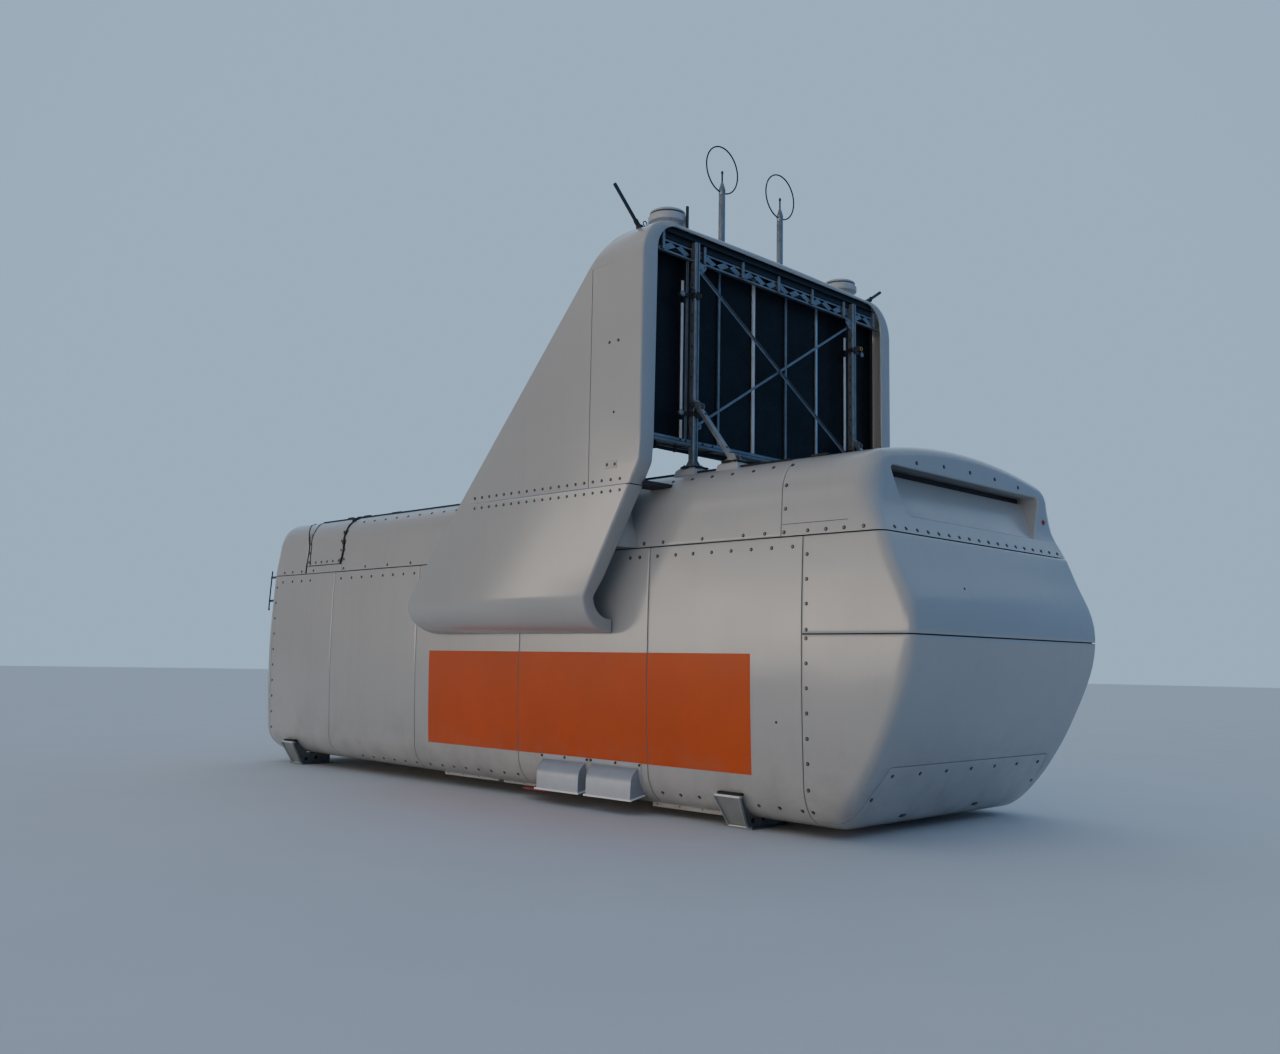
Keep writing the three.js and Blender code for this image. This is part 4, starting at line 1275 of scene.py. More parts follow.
class NACELLE_OT_steel_frame(bpy.types.Operator):
    """Make the beam, truss, posts, struts, clamps and pads that carry the radiators."""

    bl_idname = "nacelle.steel_frame"
    bl_label = "Steel frame"

    def execute(self, context):
        self.beam()
        self.truss()
        self.braces()
        for side, sign in SIDES:
            self.post(side, sign)
            self.strut(side, sign)
            self.clamps(side, sign)
        return {"FINISHED"}

    def beam(self):
        kit = Kit()
        reach = flange_inner_y(BEAM_Z[1]) - 0.002
        (x0, x1), (z0, z1) = BEAM_X, BEAM_Z
        inner, outer = POST_Y - POST_SIZE / 2 - 0.001, POST_Y + POST_SIZE / 2 + 0.001
        for a, b in ((-reach, -outer), (-inner, inner), (outer, reach)):
            kit.box((x0 + 0.006, a, z0), (x1, b, z1), "Zinc", 0.006)
            for low in (z0 + 0.002, z1 - 0.010):
                kit.box((x0 - 0.02, a, low), (x1 - 0.02, b, low + 0.008), "Zinc", 0.002)
            kit.box((x1 - 0.004, a, z0 + 0.030), (x1 + 0.003, b, z0 + 0.036), "Dark steel")
        for y in (-1.90, -1.80, -1.50, -1.32, 1.32, 1.50, 1.80, 1.90):
            kit.stud((x1, y, z0 + 0.050), REARWARDS, 0.012, 0.009, "Bolt dark")
        kit.finish("cooler_bottom_beam_profile", ["cooler_bottom_beam"])

    def truss(self):
        """Two chords with a zigzag of plates between them, closed to the hood by a black plate behind; that plate
        and the black top chord are painted shade under the hood.
        """
        kit = Kit()
        (x0, x1), (z0, z1) = BEAM_X, CHORD_Z
        reach = flange_inner_y(z0) - 0.01
        low, high = z0 + 0.052, z0 + 0.150
        kit.slat((x0, x0 + 0.008), 0, reach, (z0, low), "Zinc", 0.002)
        kit.slat((x0, x1), 0, reach, (z0, z0 + 0.008), "Zinc", 0.002)
        kit.slat((x0, x0 + 0.008), 0, reach - 0.10, (high, high + 0.028), "Zinc", 0.002)
        width = reach - 0.16
        # Painted shade: a black plate behind the truss, up to the hood, stands for the shade under the hood.
        painted_shade_plate = [(-width, high + 0.030), (width, high + 0.030)]
        painted_shade_plate += [(y, hood_top(y) - 0.034) for y in steps(width, -width, 12)]
        kit.prism(painted_shade_plate, "X", x0 + 0.012, x0 + 0.020, "Radiator black")
        # Painted shade: the top chord is black for the hood's shadow on it.
        kit.slat((x0, x1), 0, width, (z1 - 0.008, z1), "Radiator black", 0.002)
        bays, wide = 18, 0.088
        joints = steps(-reach + 0.12, reach - 0.12, bays)
        for i in range(bays):
            foot, head = joints[i + i % 2], joints[i + 1 - i % 2]
            outline = [(foot - wide, low - 0.004), (foot + wide, low - 0.004), (head + wide, high + 0.004),
                       (head - wide, high + 0.004)]
            kit.prism(outline, "X", x0 + 0.001, x0 + 0.007, "Zinc")
        for y in joints[::3]:
            kit.slat((x0 + 0.007, x0 + 0.040), y, 0.020, (low - 0.02, z1 - 0.012), "Zinc", 0.002)
        kit.finish("cooler_top_truss_plates", ["cooler_top_truss"])

    def braces(self):
        """The two crossed angles, each with a thin upper flange that catches the light."""
        inner = POST_Y - POST_SIZE / 2 - 0.002
        reach = POST_Y + 0.06
        for name, turn, wide in (("front", 1, 0.038), ("back", -1, 0.028)):
            x = POST_X + turn * 0.0065
            top = Vector((x, -turn * reach, BRACE_Z[1] + 0.022))
            low = Vector((x, turn * reach, BRACE_Z[0] - 0.022))
            span = (low - top) / (2 * reach)
            a, b = top + span * (reach - inner), top + span * (reach + inner)
            across = Vector(REARWARDS).cross(span).normalized()
            across = across if across.z > 0 else -across
            kit = Kit()
            kit.bar(a, b, wide, 0.004, across, "Zinc", 0.001)
            rim = across * (wide / 2) + Vector((turn * 0.009, 0, 0))
            kit.bar(a + rim, b + rim, 0.004, 0.020, across, "Zinc", 0.001)
            kit.finish(f"cooler_brace_{name}_angle", [f"cooler_brace_{name}"])

    def pad(self, kit, x, sign):
        """A light plinth on the roof with a black rubber pad that bulges round the foot plate."""
        y = sign * POST_Y
        roof = crown_height(y)
        plinth = ((-0.05, 0.165, 0.155), (0.02, 0.150, 0.140), (0.048, 0.118, 0.112))
        corners = ((-1, -1), (1, -1), (1, 1), (-1, 1))
        kit.loft([[Vector((x + sx * half_x, y + sy * half_y, roof + rise)) for sx, sy in corners]
                  for rise, half_x, half_y in plinth], "Gelcoat")
        rings = []
        for rise, wider in ((0.040, 0.0), (0.048, 0.022), (0.060, 0.026), (0.070, 0.006)):
            ring = []
            for i in range(28):
                a = math.tau * i / 28
                lump = 0.018 * math.sin(5 * a + 1.3 * x) + 0.010 * math.sin(9 * a + 2.1)
                r = (0.116 + wider + lump) / max(abs(math.cos(a)), abs(math.sin(a))) ** 0.55
                ring.append(Vector((x + r * math.cos(a), y + r * math.sin(a), roof + rise)))
            rings.append(ring)
        kit.loft(rings, "Black rubber")
        kit.slat((x - 0.095, x + 0.095), y, 0.095, (roof + 0.068, roof + 0.082), "Zinc", 0.003)
        for sx in (-1, 1):
            for sy in (-1, 1):
                kit.nut((x + sx * 0.072, y + sy * 0.072, roof + 0.080), UP, 0.017, 0.011, 0.016)

    def post(self, side, sign):
        """An upright tube with a groove and a row of slots drawn as dark patches of painted shade, webs at its
        foot, and the pad under it.
        """
        kit = Kit()
        y = sign * POST_Y
        roof = crown_height(y)
        half = POST_SIZE / 2
        flat, groove = half - 0.010, half - 0.014
        outline = [(half, 0.016), (half, flat), (flat, half), (-flat, half), (-half, flat), (-half, -flat),
                   (-flat, -half), (flat, -half), (half, -flat), (half, -0.006), (groove, -0.002), (groove, 0.012)]
        kit.prism([(POST_X + a, y + b) for a, b in outline], "Z", roof + 0.075, POST_TOP, "Zinc")
        # Painted shade: the slots are thin dark patches on two faces, not openings.
        slot_shade_x = (POST_X - 0.006, POST_X + 0.006)
        for z in steps(4.60, 6.50, 10):
            for turn in (-1, 1):
                kit.slat(slot_shade_x, y + turn * half, 0.001, (z - 0.015, z + 0.015), "Bolt dark")
        kit.slat((POST_X - flat, POST_X + flat), y, flat, (POST_TOP - 0.002, POST_TOP + 0.004),
                 "Dark steel", 0.001)
        self.pad(kit, POST_X, sign)
        z = roof + 0.082
        for shift in (0.03, -0.03):
            for turn in (-1, 1):
                x = POST_X + turn * half
                kit.web([(x, z), (x + turn * 0.05, z), (x, z + 0.07)], y + shift)
        kit.finish(f"cooler_post_{side}_tube", [f"cooler_post_{side}"])

    def strut(self, side, sign):
        """A leaning channel with its bolts, the webs at both ends, and the pad under it."""
        kit = Kit()
        y = sign * POST_Y
        roof = crown_height(y)
        top = Vector((POST_X + 0.075, y, STRUT_TOP_Z + 0.012))
        foot = Vector((STRUT_FOOT_X - 0.02, y, roof + 0.105))
        up = Vector((0, 1, 0)).cross((foot - top).normalized())
        up = up if up.z > 0 else -up
        kit.bar(top, foot, 0.078, 0.008, (0, 1, 0), "Zinc", 0.002)
        for turn in (-1, 1):
            shift = Vector((0, turn * 0.035, 0)) - up * 0.022
            kit.bar(top + shift, foot + shift, 0.008, 0.044, (0, 1, 0), "Zinc", 0.002)
        for share in (0.03, 0.09, 0.20, 0.80, 0.90, 0.97):
            kit.stud(top.lerp(foot, share) + up * 0.004, up, 0.013, 0.008, "Bolt dark", 8)
        rise = (STRUT_TOP_Z - 0.07, STRUT_TOP_Z + 0.06)
        kit.slat((POST_X + 0.044, POST_X + 0.056), y, 0.05, rise, "Zinc", 0.003)
        head_web = ((0.05, -0.05), (0.05, 0.05), (0.14, 0.0), (0.14, -0.05))
        foot_web = ((-0.09, 0.08), (0.06, 0.08), (0.02, 0.16), (-0.05, 0.17))
        for turn in (-1, 1):
            for x, z, web in ((POST_X, STRUT_TOP_Z, head_web), (STRUT_FOOT_X, roof, foot_web)):
                outline = [(x + a, z + b) for a, b in web]
                kit.web(outline, y + turn * 0.044)
        self.pad(kit, STRUT_FOOT_X, sign)
        kit.finish(f"cooler_strut_{side}_channel", [f"cooler_strut_{side}"])

    def clamps(self, side, sign):
        """The thin upright beside the post, and the dark clamps, hooks and tab plates on it."""
        kit = Kit()
        y = sign * POST_Y
        kit.side_box(sign, (3.088, 1.752, 4.40), (3.118, 1.752 + 0.004, 6.62), "Zinc", 0.001)
        kit.slat((3.088, 3.092), sign * 1.752, 0.015, (4.40, 6.62), "Zinc", 0.001)
        for z in CLAMPS_Z:
            kit.slat((POST_X - 0.058, POST_X + 0.056), y, 0.056, (z - 0.030, z + 0.030), "Dark steel", 0.008)
            kit.side_box(sign, (3.075, POST_Y, z - 0.024), (3.130, 1.900, z + 0.016), "Dark steel", 0.004)
            kit.lathe([(0, 0), (0.036, 0), (0.036, 0.02), (0.028, 0.028), (0, 0.028)],
                      (3.128, sign * 1.876, z - 0.01), REARWARDS, "Zinc", 20)
            kit.slat((POST_X + 0.050, POST_X + 0.064), y - sign * 0.052, 0.007, (z - 0.004, z + 0.034),
                     "Brass", 0.004)
            kit.slat((POST_X + 0.052, POST_X + 0.066), y, 0.03, (z - 0.05, z + 0.05), "Bolt dark", 0.004)
        if sign > 0:
            for ring_y, ring_z, ring_r in ((1.776, 6.213, 0.026), (1.722, 4.850, 0.017)):
                kit.tube(circle((3.200, ring_y, ring_z), ring_r, 20), 0.006, "Yellow paint", 8, closed=True)
        for hook_y, rise in ((1.735, (6.185, 6.245)), (1.720, (4.790, 4.850))):
            kit.slat((3.150, 3.190), sign * hook_y, 0.03, rise, "Dark steel", 0.006)
        tabs = (
            ((1.603, 4.545), (1.603, 4.640), (1.568, 4.640), (1.556, 4.615), (1.530, 4.610), (1.530, 4.560),
             (1.565, 4.545)),
            ((1.603, 6.470), (1.603, 6.600), (1.470, 6.600), (1.470, 6.550), (1.545, 6.470)),
        )
        for outline in tabs:
            kit.prism([(sign * a, b) for a, b in outline], "X", 3.144, 3.152, "Zinc")
        for a, b in ((1.575, 4.58), (1.50, 6.575), (1.575, 6.52)):
            kit.stud((3.152, sign * a, b), REARWARDS, 0.014, 0.010, "Bolt steel")
        kit.finish(f"post_clamps_{side}")


# Top gear


class NACELLE_OT_top_gear(bpy.types.Operator):
    """Make the beacons, the sensor masts and the lightning rods on the hood."""

    bl_idname = "nacelle.top_gear"
    bl_label = "Beacons, masts and rods"

    def execute(self, context):
        for side, sign in SIDES:
            self.beacon(side, sign)
            self.mast(side, sign)
            self.rod(side, sign)
        kit = Kit()
        kit.lathe([(0, 0), (0.019, 0), (0.019, 0.010), (0.008, 0.012), (0, 0.012)],
                  ((BEAM_X[0] + BEAM_X[1]) / 2 + 0.024, 0.0, 5.550), REARWARDS, "Bolt steel", 6)
        kit.box((3.076, -1.776, 6.900), (3.104, -1.742, 7.292), "Dark steel", 0.004)
        kit.box((3.060, -1.790, 6.978), (3.120, -1.728, 7.004), "Dark steel", 0.004)
        kit.finish("brace_crossing_bolt")
        return {"FINISHED"}

    def beacon(self, side, sign):
        kit = Kit()
        x, y, z = base = (BEACON_X, sign * BEACON_Y[sign], hood_top(BEACON_Y[sign]) - 0.003)
        body = [(0, 0), (0.215, 0), (0.215, 0.012), (0.190, 0.020), (0.184, 0.098), (0.204, 0.112), (0.238, 0.120),
                (0.243, 0.130), (0.243, 0.186), (0.222, 0.192), (0.222, 0.214), (0, 0.214)]
        lens = [(0, 0.214), (0.214, 0.214), (0.214, 0.236), (0, 0.236)]
        cap = [(0, 0.236), (0.218, 0.236), (0.221, 0.242), (0.219, 0.256), (0.196, 0.272), (0.150, 0.284),
               (0.07, 0.289), (0, 0.289)]
        for profile, look in ((body, "Pale plastic"), (lens, "Lens"), (cap, "Pale plastic")):
            kit.lathe(profile, base, UP, look, 48)
        for i in range(8):
            a = math.tau * i / 8 + 0.2
            at = (x + 0.200 * math.cos(a), y + 0.200 * math.sin(a), z + 0.018)
            kit.stud(at, UP, 0.010, 0.008, "Bolt steel")
        kit.finish(f"beacon_{side}_housing", [f"beacon_{side}"])

    def mast(self, side, sign):
        """A pole with a rubber collar on the hood, a slim tip, a ring round the tip and a foot on the chord."""
        kit = Kit()
        y = sign * MAST_Y
        top = hood_top(MAST_Y)
        pole = [(0, 6.560), (0.045, 6.560), (0.045, 7.880), (0.043, 7.885), (0.043, 7.915), (0.046, 7.920),
                (0.046, 7.975), (0.022, 8.055), (0.016, 8.075), (0, 8.075)]
        tip = [(0, 8.070), (0.012, 8.070), (0.012, 8.190), (0.017, 8.194), (0.017, 8.220), (0.011, 8.232),
               (0, 8.232)]
        collar = [(0, top - 0.002), (0.082, top - 0.002), (0.082, top + 0.006), (0.058, top + 0.018),
                  (0.045, top + 0.022), (0, top + 0.022)]
        for profile, look, count in ((pole, "Zinc", 20), (tip, "Dark steel", 14), (collar, "Black rubber", 20)):
            kit.lathe(profile, (MAST_X, y, 0), UP, look, count)
        kit.tube(circle((MAST_X, y, MAST_RING_Z), MAST_RING_R, 64), 0.0105, "Dark steel", 10, closed=True)
        high = CHORD_Z[1]
        kit.slat((MAST_X, BEAM_X[0] - 0.001), y, 0.02, (high - 0.045, high - 0.01), "Zinc", 0.003)
        kit.slat((MAST_X - 0.05, MAST_X + 0.05), y, 0.05, (high - 0.05, high - 0.005), "Zinc", 0.006)
        kit.finish(f"sensor_mast_{side}_pole", [f"sensor_mast_{side}"])

    def rod(self, side, sign):
        """A rod that leans outwards from its clamp, with an eye beside it."""
        kit = Kit()
        (x, y, z), reach, rise = RODS[sign]
        foot = Vector((x, sign * y, z + 0.02))
        tip = Vector((x, sign * (y + reach), z + rise))
        out = (tip - foot).normalized()
        path = [foot - out * 0.02, foot + out * 0.10, foot + out * 0.102, tip - out * 0.006, tip]
        kit.tube(path, [0.030, 0.030, 0.023, 0.023, 0.015], "Dark steel", 14)
        kit.slat((x - 0.035, x + 0.035), sign * y, 0.030, (z - 0.012, z + 0.050), "Dark steel", 0.006)
        eye_y = sign * (y - 0.01)
        kit.tube(circle((x + 0.085, eye_y, z + 0.045), 0.030, 18), 0.007, "Dark steel", 8, closed=True)
        kit.slat((x + 0.03, x + 0.095), eye_y, 0.008, (z, z + 0.022), "Dark steel", 0.002)
        kit.finish(f"lightning_rod_{side}_bar", [f"lightning_rod_{side}"])


# Hub opening


class NACELLE_OT_hub(bpy.types.Operator):
    """Make the flange ring round the hub opening and the cover in it."""

    bl_idname = "nacelle.hub"
    bl_label = "Hub flange and cover"

    def execute(self, context):
        base = (HUB_FRONT_X, 0, HUB_Z)
        bore, rim = HUB_BORE_R, HUB_RING_R
        kit = Kit()
        ring = [(bore, 0.006), (bore + 0.006, 0.0), (rim - 0.008, 0.0), (rim, 0.008), (rim, 0.32), (bore, 0.32)]
        kit.lathe(ring, base, REARWARDS, "Dark steel", 96)
        for at in circle((HUB_FRONT_X + 0.012, 0, HUB_Z), 1.372, 48, 0.5):
            kit.stud(at, FORWARDS, 0.030, 0.0115, "Bolt dark")
        kit.finish("hub_flange_ring", ["hub_flange"])
        kit = Kit()
        dish = [(0, 0.018), (0.30, 0.018), (0.31, 0.024), (0.33, 0.024), (0.34, 0.018), (1.02, 0.018),
                (1.10, 0.024), (bore - 0.10, 0.044), (bore - 0.02, 0.048), (bore - 0.004, 0.060),
                (bore - 0.004, 0.30), (0, 0.30)]
        kit.lathe(dish, base, REARWARDS, "Gelcoat", 96)
        for at in circle((HUB_FRONT_X + 0.048, 0, HUB_Z), 1.225, 36, 0.5):
            kit.nut(at, FORWARDS, 0.020, 0.013, 0.016)
        kit.finish("hub_opening_cover_dish", ["hub_opening_cover"])
        kit = Kit()
        seal = [on_housing(at, REARWARDS)[0] for at in circle((-9, 0, HUB_Z), rim + 0.012, 96)]
        kit.tube(seal, 0.016, "Black rubber", 10, closed=True)
        kit.finish("hub_flange_seal")
        return {"FINISHED"}


# Underside


class NACELLE_OT_underside(bpy.types.Operator):
    """Make the transport feet, the vent hoods and the floor rails."""

    bl_idname = "nacelle.underside"
    bl_label = "Feet, vents and rails"

    def execute(self, context):
        for side, sign in SIDES:
            for end, x, top_z in FEET:
                self.foot(f"foot_{end}_{side}", x, sign, top_z)
            self.vents(side, sign)
            self.rails(side, sign)
        return {"FINISHED"}

    def foot(self, name, x, sign, top_z):
        """A folded plate foot: a leaning outer plate with bright returned edges, ribs and a base plate."""
        kit = Kit()
        top_y, low_y = 2.083, 1.880
        top_half, low_half = 0.178, 0.135
        face = [(half, low_y + (top_y - low_y) * share, 0.012 + (top_z - 0.012) * share)
                for share, half in ((0.0, low_half), (0.18, low_half), (1.0, top_half))]
        outline = [(-h, y, z) for h, y, z in face] + face[::-1]
        kit.loft([[Vector((x + px, sign * (py + depth), pz)) for px, py, pz in outline]
                  for depth in (0.0, -0.012)], "Foot plate")
        for turn in (-1, 1):
            path = [Vector((x + turn * h, sign * (y + 0.010), z)) for h, y, z in face]
            for a, b in zip(path, path[1:]):
                kit.bar(a, b, 0.034, 0.012, (0, 1, 0), "Bright sheet", 0.003)
        half = top_half + 0.004
        kit.side_box(sign, (x - half, top_y - 0.045, top_z - 0.012), (x + half, top_y + 0.007, top_z + 0.014),
                     "Bright sheet", 0.004)
        half = low_half + 0.010
        kit.side_box(sign, (x - half, 1.870, 0.012), (x + half, 1.900, 0.030), "Bright sheet", 0.003)
        rib = ((1.36, 0.014), (low_y - 0.01, 0.014), (top_y - 0.02, top_z - 0.01), (2.00, top_z + 0.02),
               (1.76, 0.17), (1.36, 0.165))
        for dx in (-0.120, 0.0, 0.120):
            kit.prism([(sign * y, z) for y, z in rib], "X", x + dx - 0.008, x + dx + 0.008, "Zinc")
        # Painted shade: the two holes in the rib are flat black discs, not openings.
        for y, z in ((1.80, 0.085), (1.62, 0.100)):
            kit.stud((x + 0.127, sign * y, z), REARWARDS, 0.030, 0.002, "Black rubber", 16)
        kit.side_box(sign, (x - 0.20, 1.33, 0.0), (x + 0.20, 1.905, 0.016), "Zinc", 0.003)
        kit.side_box(sign, (x - 0.165, 1.985, top_z + 0.012), (x + 0.165, 2.062, top_z + 0.040),
                     "Black rubber", 0.008)
        for dx in (-0.16, 0.16):
            kit.nut((x + dx, sign * 1.86, 0.014), UP, 0.020, 0.014, 0.018)
        kit.finish(name + "_plates", [name])

    def vents(self, side, sign):
        """Two folded hoods under a bolted flange strip, open at the bottom."""
        kit = Kit()
        section = [(1.992, 0.552), (2.040, 0.530), (2.080, 0.497), (2.112, 0.466), (2.134, 0.428), (2.145, 0.386),
                   (2.150, 0.340), (2.153, 0.180)]
        cheek = section + [(1.925, 0.225), (1.940, 0.300), (1.965, 0.380), (1.985, 0.460)]
        for x0, x1 in VENT_X:
            a, b, middle = x0 + 0.050, x1 - 0.050, (x0 + x1) / 2
            part = bmesh.new()
            outer, inner = ([[part.verts.new((x, sign * (y - inset), z - inset)) for x in (a + inset, b - inset)]
                             for y, z in section] for inset in (0.0, 0.006))
            for layer in (outer, inner):
                for one, two in zip(layer, layer[1:]):
                    part.faces.new((*one, *reversed(two)))
            for end in (0, 1):
                for i in range(len(section) - 1):
                    part.faces.new((outer[i][end], outer[i + 1][end], inner[i + 1][end], inner[i][end]))
            for i in (0, -1):
                part.faces.new((*outer[i], *reversed(inner[i])))
            kit.take(part, "Vent sheet")
            for x in (a, b - 0.006):
                kit.prism([(sign * y, z) for y, z in cheek], "X", x, x + 0.006, "Vent sheet")
            for x in (a - 0.010, b + 0.010):
                kit.bar((x, sign * 2.160, 0.176), (x, sign * 1.925, 0.222), 0.030, 0.014, REARWARDS,
                        "White strip", 0.002)
            kit.side_box(sign, (a - 0.022, 2.140, 0.164), (b + 0.022, 2.172, 0.188), "White strip", 0.004)
            strip = []
            for z in steps(0.596, 0.552, 4):
                hit, normal = on_side(middle, z, sign)
                strip.append((hit.y + normal.y * 0.001, hit.z))
            kit.prism(strip + [(y + sign * 0.007, z) for y, z in reversed(strip)], "X", x0, x1, "Vent sheet")
            for x in (x0 + 0.020, middle + 0.015, x1 - 0.016):
                hit, normal = on_side(x, 0.575, sign)
                kit.stud(hit + normal * 0.007, normal, 0.017, 0.010, "Bolt dark", 8)
        for x in (VENT_X[0][0] + 0.004, VENT_X[1][1] - 0.004):
            edge = [on_side(x, z, sign) for z in steps(0.575, 0.20, 9)]
            kit.tube(lifted(edge, 0.003), 0.008, "Bright sheet", 6)
        kit.side_box(sign, (0.60, 1.80, 0.124), (1.06, 2.03, 0.124 + 0.024), "Red paint", 0.005)
        kit.side_box(sign, (0.70, 1.80, 0.13), (0.76, 1.86, 0.24), "Red paint", 0.003)
        kit.finish(f"vent_hoods_{side}_sheets", [f"vent_hoods_{side}"])

    def rails(self, side, sign):
        """Three lengths of channel under the floor, with the beam and the block that join them."""
        kit = Kit()
        y = sign * RAIL_Y
        for x0, x1, low in ((RAIL_X[0], -0.262, 0.130), (-0.150, 0.520, 0.126), (2.640, RAIL_X[1], 0.084)):
            kit.slat((x0, x1), y, 0.040, (low + 0.070, low + 0.092), "Gelcoat", 0.004)
            for turn in (-1, 1):
                kit.slat((x0, x1), y + turn * 0.036, 0.004, (low, low + 0.085), "Gelcoat", 0.003)
            for x in steps(x0 + 0.08, x1 - 0.08, 3):
                kit.stud((x, y + sign * 0.040, low + 0.032), (0, sign, 0), 0.012, 0.008, "Bolt steel")
        kit.slat((-0.262, -0.150), y, 0.030, (0.120, 0.215), "Dark steel", 0.006)
        kit.slat((0.520, 2.640), y, 0.02, (0.130, 0.170), "Dark steel", 0.003)
        kit.finish(f"floor_rail_{side}_channel", [f"floor_rail_{side}"])


# Field, strips and small parts


class NACELLE_OT_orange_field(bpy.types.Operator):
    """Make the plain orange film on the near side, cut where it crosses a seam."""

    bl_idname = "nacelle.orange_field"
    bl_label = "Orange field"

    def execute(self, context):
        clear = half_gap() + 0.001
        edges = (FIELD_X[0], SIDE_SEAMS[3], SIDE_SEAMS[4], FIELD_X[1])
        for i, (a, b) in enumerate(zip(edges, edges[1:]), 1):
            bm = housing_mesh()
            x0 = a + clear if i > 1 else a
            x1 = b - clear if i < 3 else b
            for at, outward in slab(x0=x0, x1=x1, y1=-1.0, z0=FIELD_Z[0], z1=FIELD_Z[1]):
                cut(bm, at, outward)
            grow(bm, 0.0006)
            mesh = with_modifiers(bm, lambda obj: thicken(obj, 0.0014, 1))
            mesh.materials.append(finish_material("Orange film"))
            add_piece(f"orange_field_{i}", mesh)
        return {"FINISHED"}


def line_up(sign, wall, shoulder, lift):
    """Points up the wall and round the shoulder, from (x, height) and (x, degrees) pairs."""
    places = [on_side(x, z, sign) for x, z in wall] + [on_shoulder(x, a, sign) for x, a in shoulder]
    return lifted(places, lift)


class NACELLE_OT_strips(bpy.types.Operator):
    """Make the black rubber strips along the roof edges and hatches, and the loose small parts."""

    bl_idname = "nacelle.strips"
    bl_label = "Rubber strips and small parts"

    def execute(self, context):
        kit = Kit()
        for _, sign in SIDES:
            self.roof_strips(kit, sign)
        kit.finish("roof_edge_strips")
        self.front_strip()
        self.rear_marks()
        self.plugs()
        return {"FINISHED"}

    def roof_strips(self, kit, sign):
        """The strip along the roof's edge, the lines round the hatch, and the blocks on the roof."""

        def over(x, ys, lift):
            return lifted([on_roof(x, sign * y) for y in ys], lift)

        edge = [on_roof(x, sign * ROOF_EDGE_Y) for x in steps(-5.150, 4.66, 14)]
        kit.tube(lifted(edge, 0.004), 0.016, "Black rubber", 8)
        right = line_up(
            sign, ((-4.053, 3.241), (-4.017, 3.311), (-3.989, 3.466), (-3.994, 3.57)),
            ((-4.000, 7), (-3.996, 19), (-4.005, 37), (-4.010, 53), (-4.018, 65), (-4.020, 76)), 0.006)
        right += over(HATCH_SEAM_X, (1.4, 1.1, 0.8, 0.4, 0.02), 0.004)
        kit.tube(right, 0.019, "Black rubber", 8)
        latch = Vector((0.034, 0.022, 0.034))
        for at in right[3:9:2]:
            kit.box(at - latch, at + latch, "Black rubber", 0.010)
        cap_line = line_up(
            sign, ((-5.112, 3.12), (-5.105, 3.27), (-5.064, 3.456), (-5.068, 3.56)),
            ((-5.079, 9), (-5.120, 18), (-5.206, 31), (-5.320, 46), (-5.413, 58), (-5.485, 76)), 0.003)
        kit.tube(cap_line, [0.009] * 4 + [0.016, 0.016] + [0.010] * 4, "Black rubber", 8)
        left = line_up(
            sign, ((-4.985, 3.25), (-5.005, 3.41), (-4.998, 3.54)),
            ((-5.018, 9), (-5.026, 20), (-5.036, 35), (-5.090, 50), (-5.150, 62), (-5.180, 74)), 0.003)
        left += over(CAP_SEAM_X, (1.4, 1.0, 0.5, 0.02), 0.003)
        kit.tube(left, 0.008, "Black rubber", 8)
        for x0, x1, high in ((-4.434, -4.282, 0.030), (-4.146, -4.041, 0.026), (-3.952, -3.776, 0.030),
                             (-3.148, -2.900, 0.022), (4.917, 5.128, 0.024)):
            hit, _ = on_roof((x0 + x1) / 2, sign * 1.700)
            kit.slat((x0, x1), hit.y, 0.026, (hit.z - 0.010, hit.z + high), "Black rubber", 0.008)
        # Painted shade: a thin dark line stands for a groove that is not cut into the rear cap.
        groove = [on_side(x, 3.2385, sign) for x in steps(4.79, 5.62, 6)]
        kit.tube(lifted(groove, 0.0005), 0.003, "Sealant", 6)

    def front_strip(self):
        """The strip up the front edge on the near side, with its red end and its two holders."""
        kit = Kit()
        path = [Vector((-6.406, y, z)) for y, z in
                ((-1.996, 2.575), (-1.990, 2.73), (-1.982, 2.89), (-1.972, 3.05), (-1.961, 3.215))]
        for low, high in zip(path, path[1:]):
            kit.bar(low, high, 0.016, 0.026, (0, 1, 0), "Black rubber", 0.003)
        kit.box((-6.418, -2.008, 2.535), (-6.388, -1.984, 2.575), "Red paint", 0.003)
        for z in (2.70, 3.10):
            kit.box((-6.40, -1.992, z - 0.02), (-6.12, -1.972, z + 0.02), "Dark steel", 0.003)
        kit.finish("front_edge_strip")

    def rear_marks(self):
        """The red pull mark on the rear cap and the two catches on the rear bottom cover."""
        kit = Kit()
        hit, normal = on_rear(1.700, 3.542)
        knob = [(0, 0), (0.030, 0), (0.030, 0.008), (0.018, 0.020), (0, 0.020)]
        kit.lathe(knob, hit, normal, "Red paint", 18)
        kit.stud(hit + Vector((0, 0.03, -0.07)), normal, 0.012, 0.006, "Red paint", 10)
        across = Vector((0, 1, 0))
        for y, z in ((-0.885, 0.200), (0.598, 0.217)):
            hit, normal = on_rear(y, z)
            upwards = normal.cross(across)
            kit.bar(hit + across * 0.050, hit - across * 0.050, 0.040, 0.016, upwards, "Dark steel", 0.004)
            at = hit + normal * 0.012
            kit.bar(at + across * 0.022, at - across * 0.022, 0.018, 0.014, upwards, "Bolt steel", 0.003)
        kit.finish("rear_pull_mark")

    def plugs(self):
        kit = Kit()
        places = [on_rear(-0.885, 2.576)]
        for _, sign in SIDES:
            on_fairing = (Vector((2.722, sign * HOOD_Y, 4.655)), Vector((0, sign, 0)))
            places += [on_side(4.725, 1.163, sign), on_fairing]
        for hit, normal in places:
            kit.lathe([(0, 0), (0.015, 0), (0.013, 0.004), (0, 0.005)], hit, normal, "Black rubber", 12)
        kit.finish("panel_plugs")


# Bolts


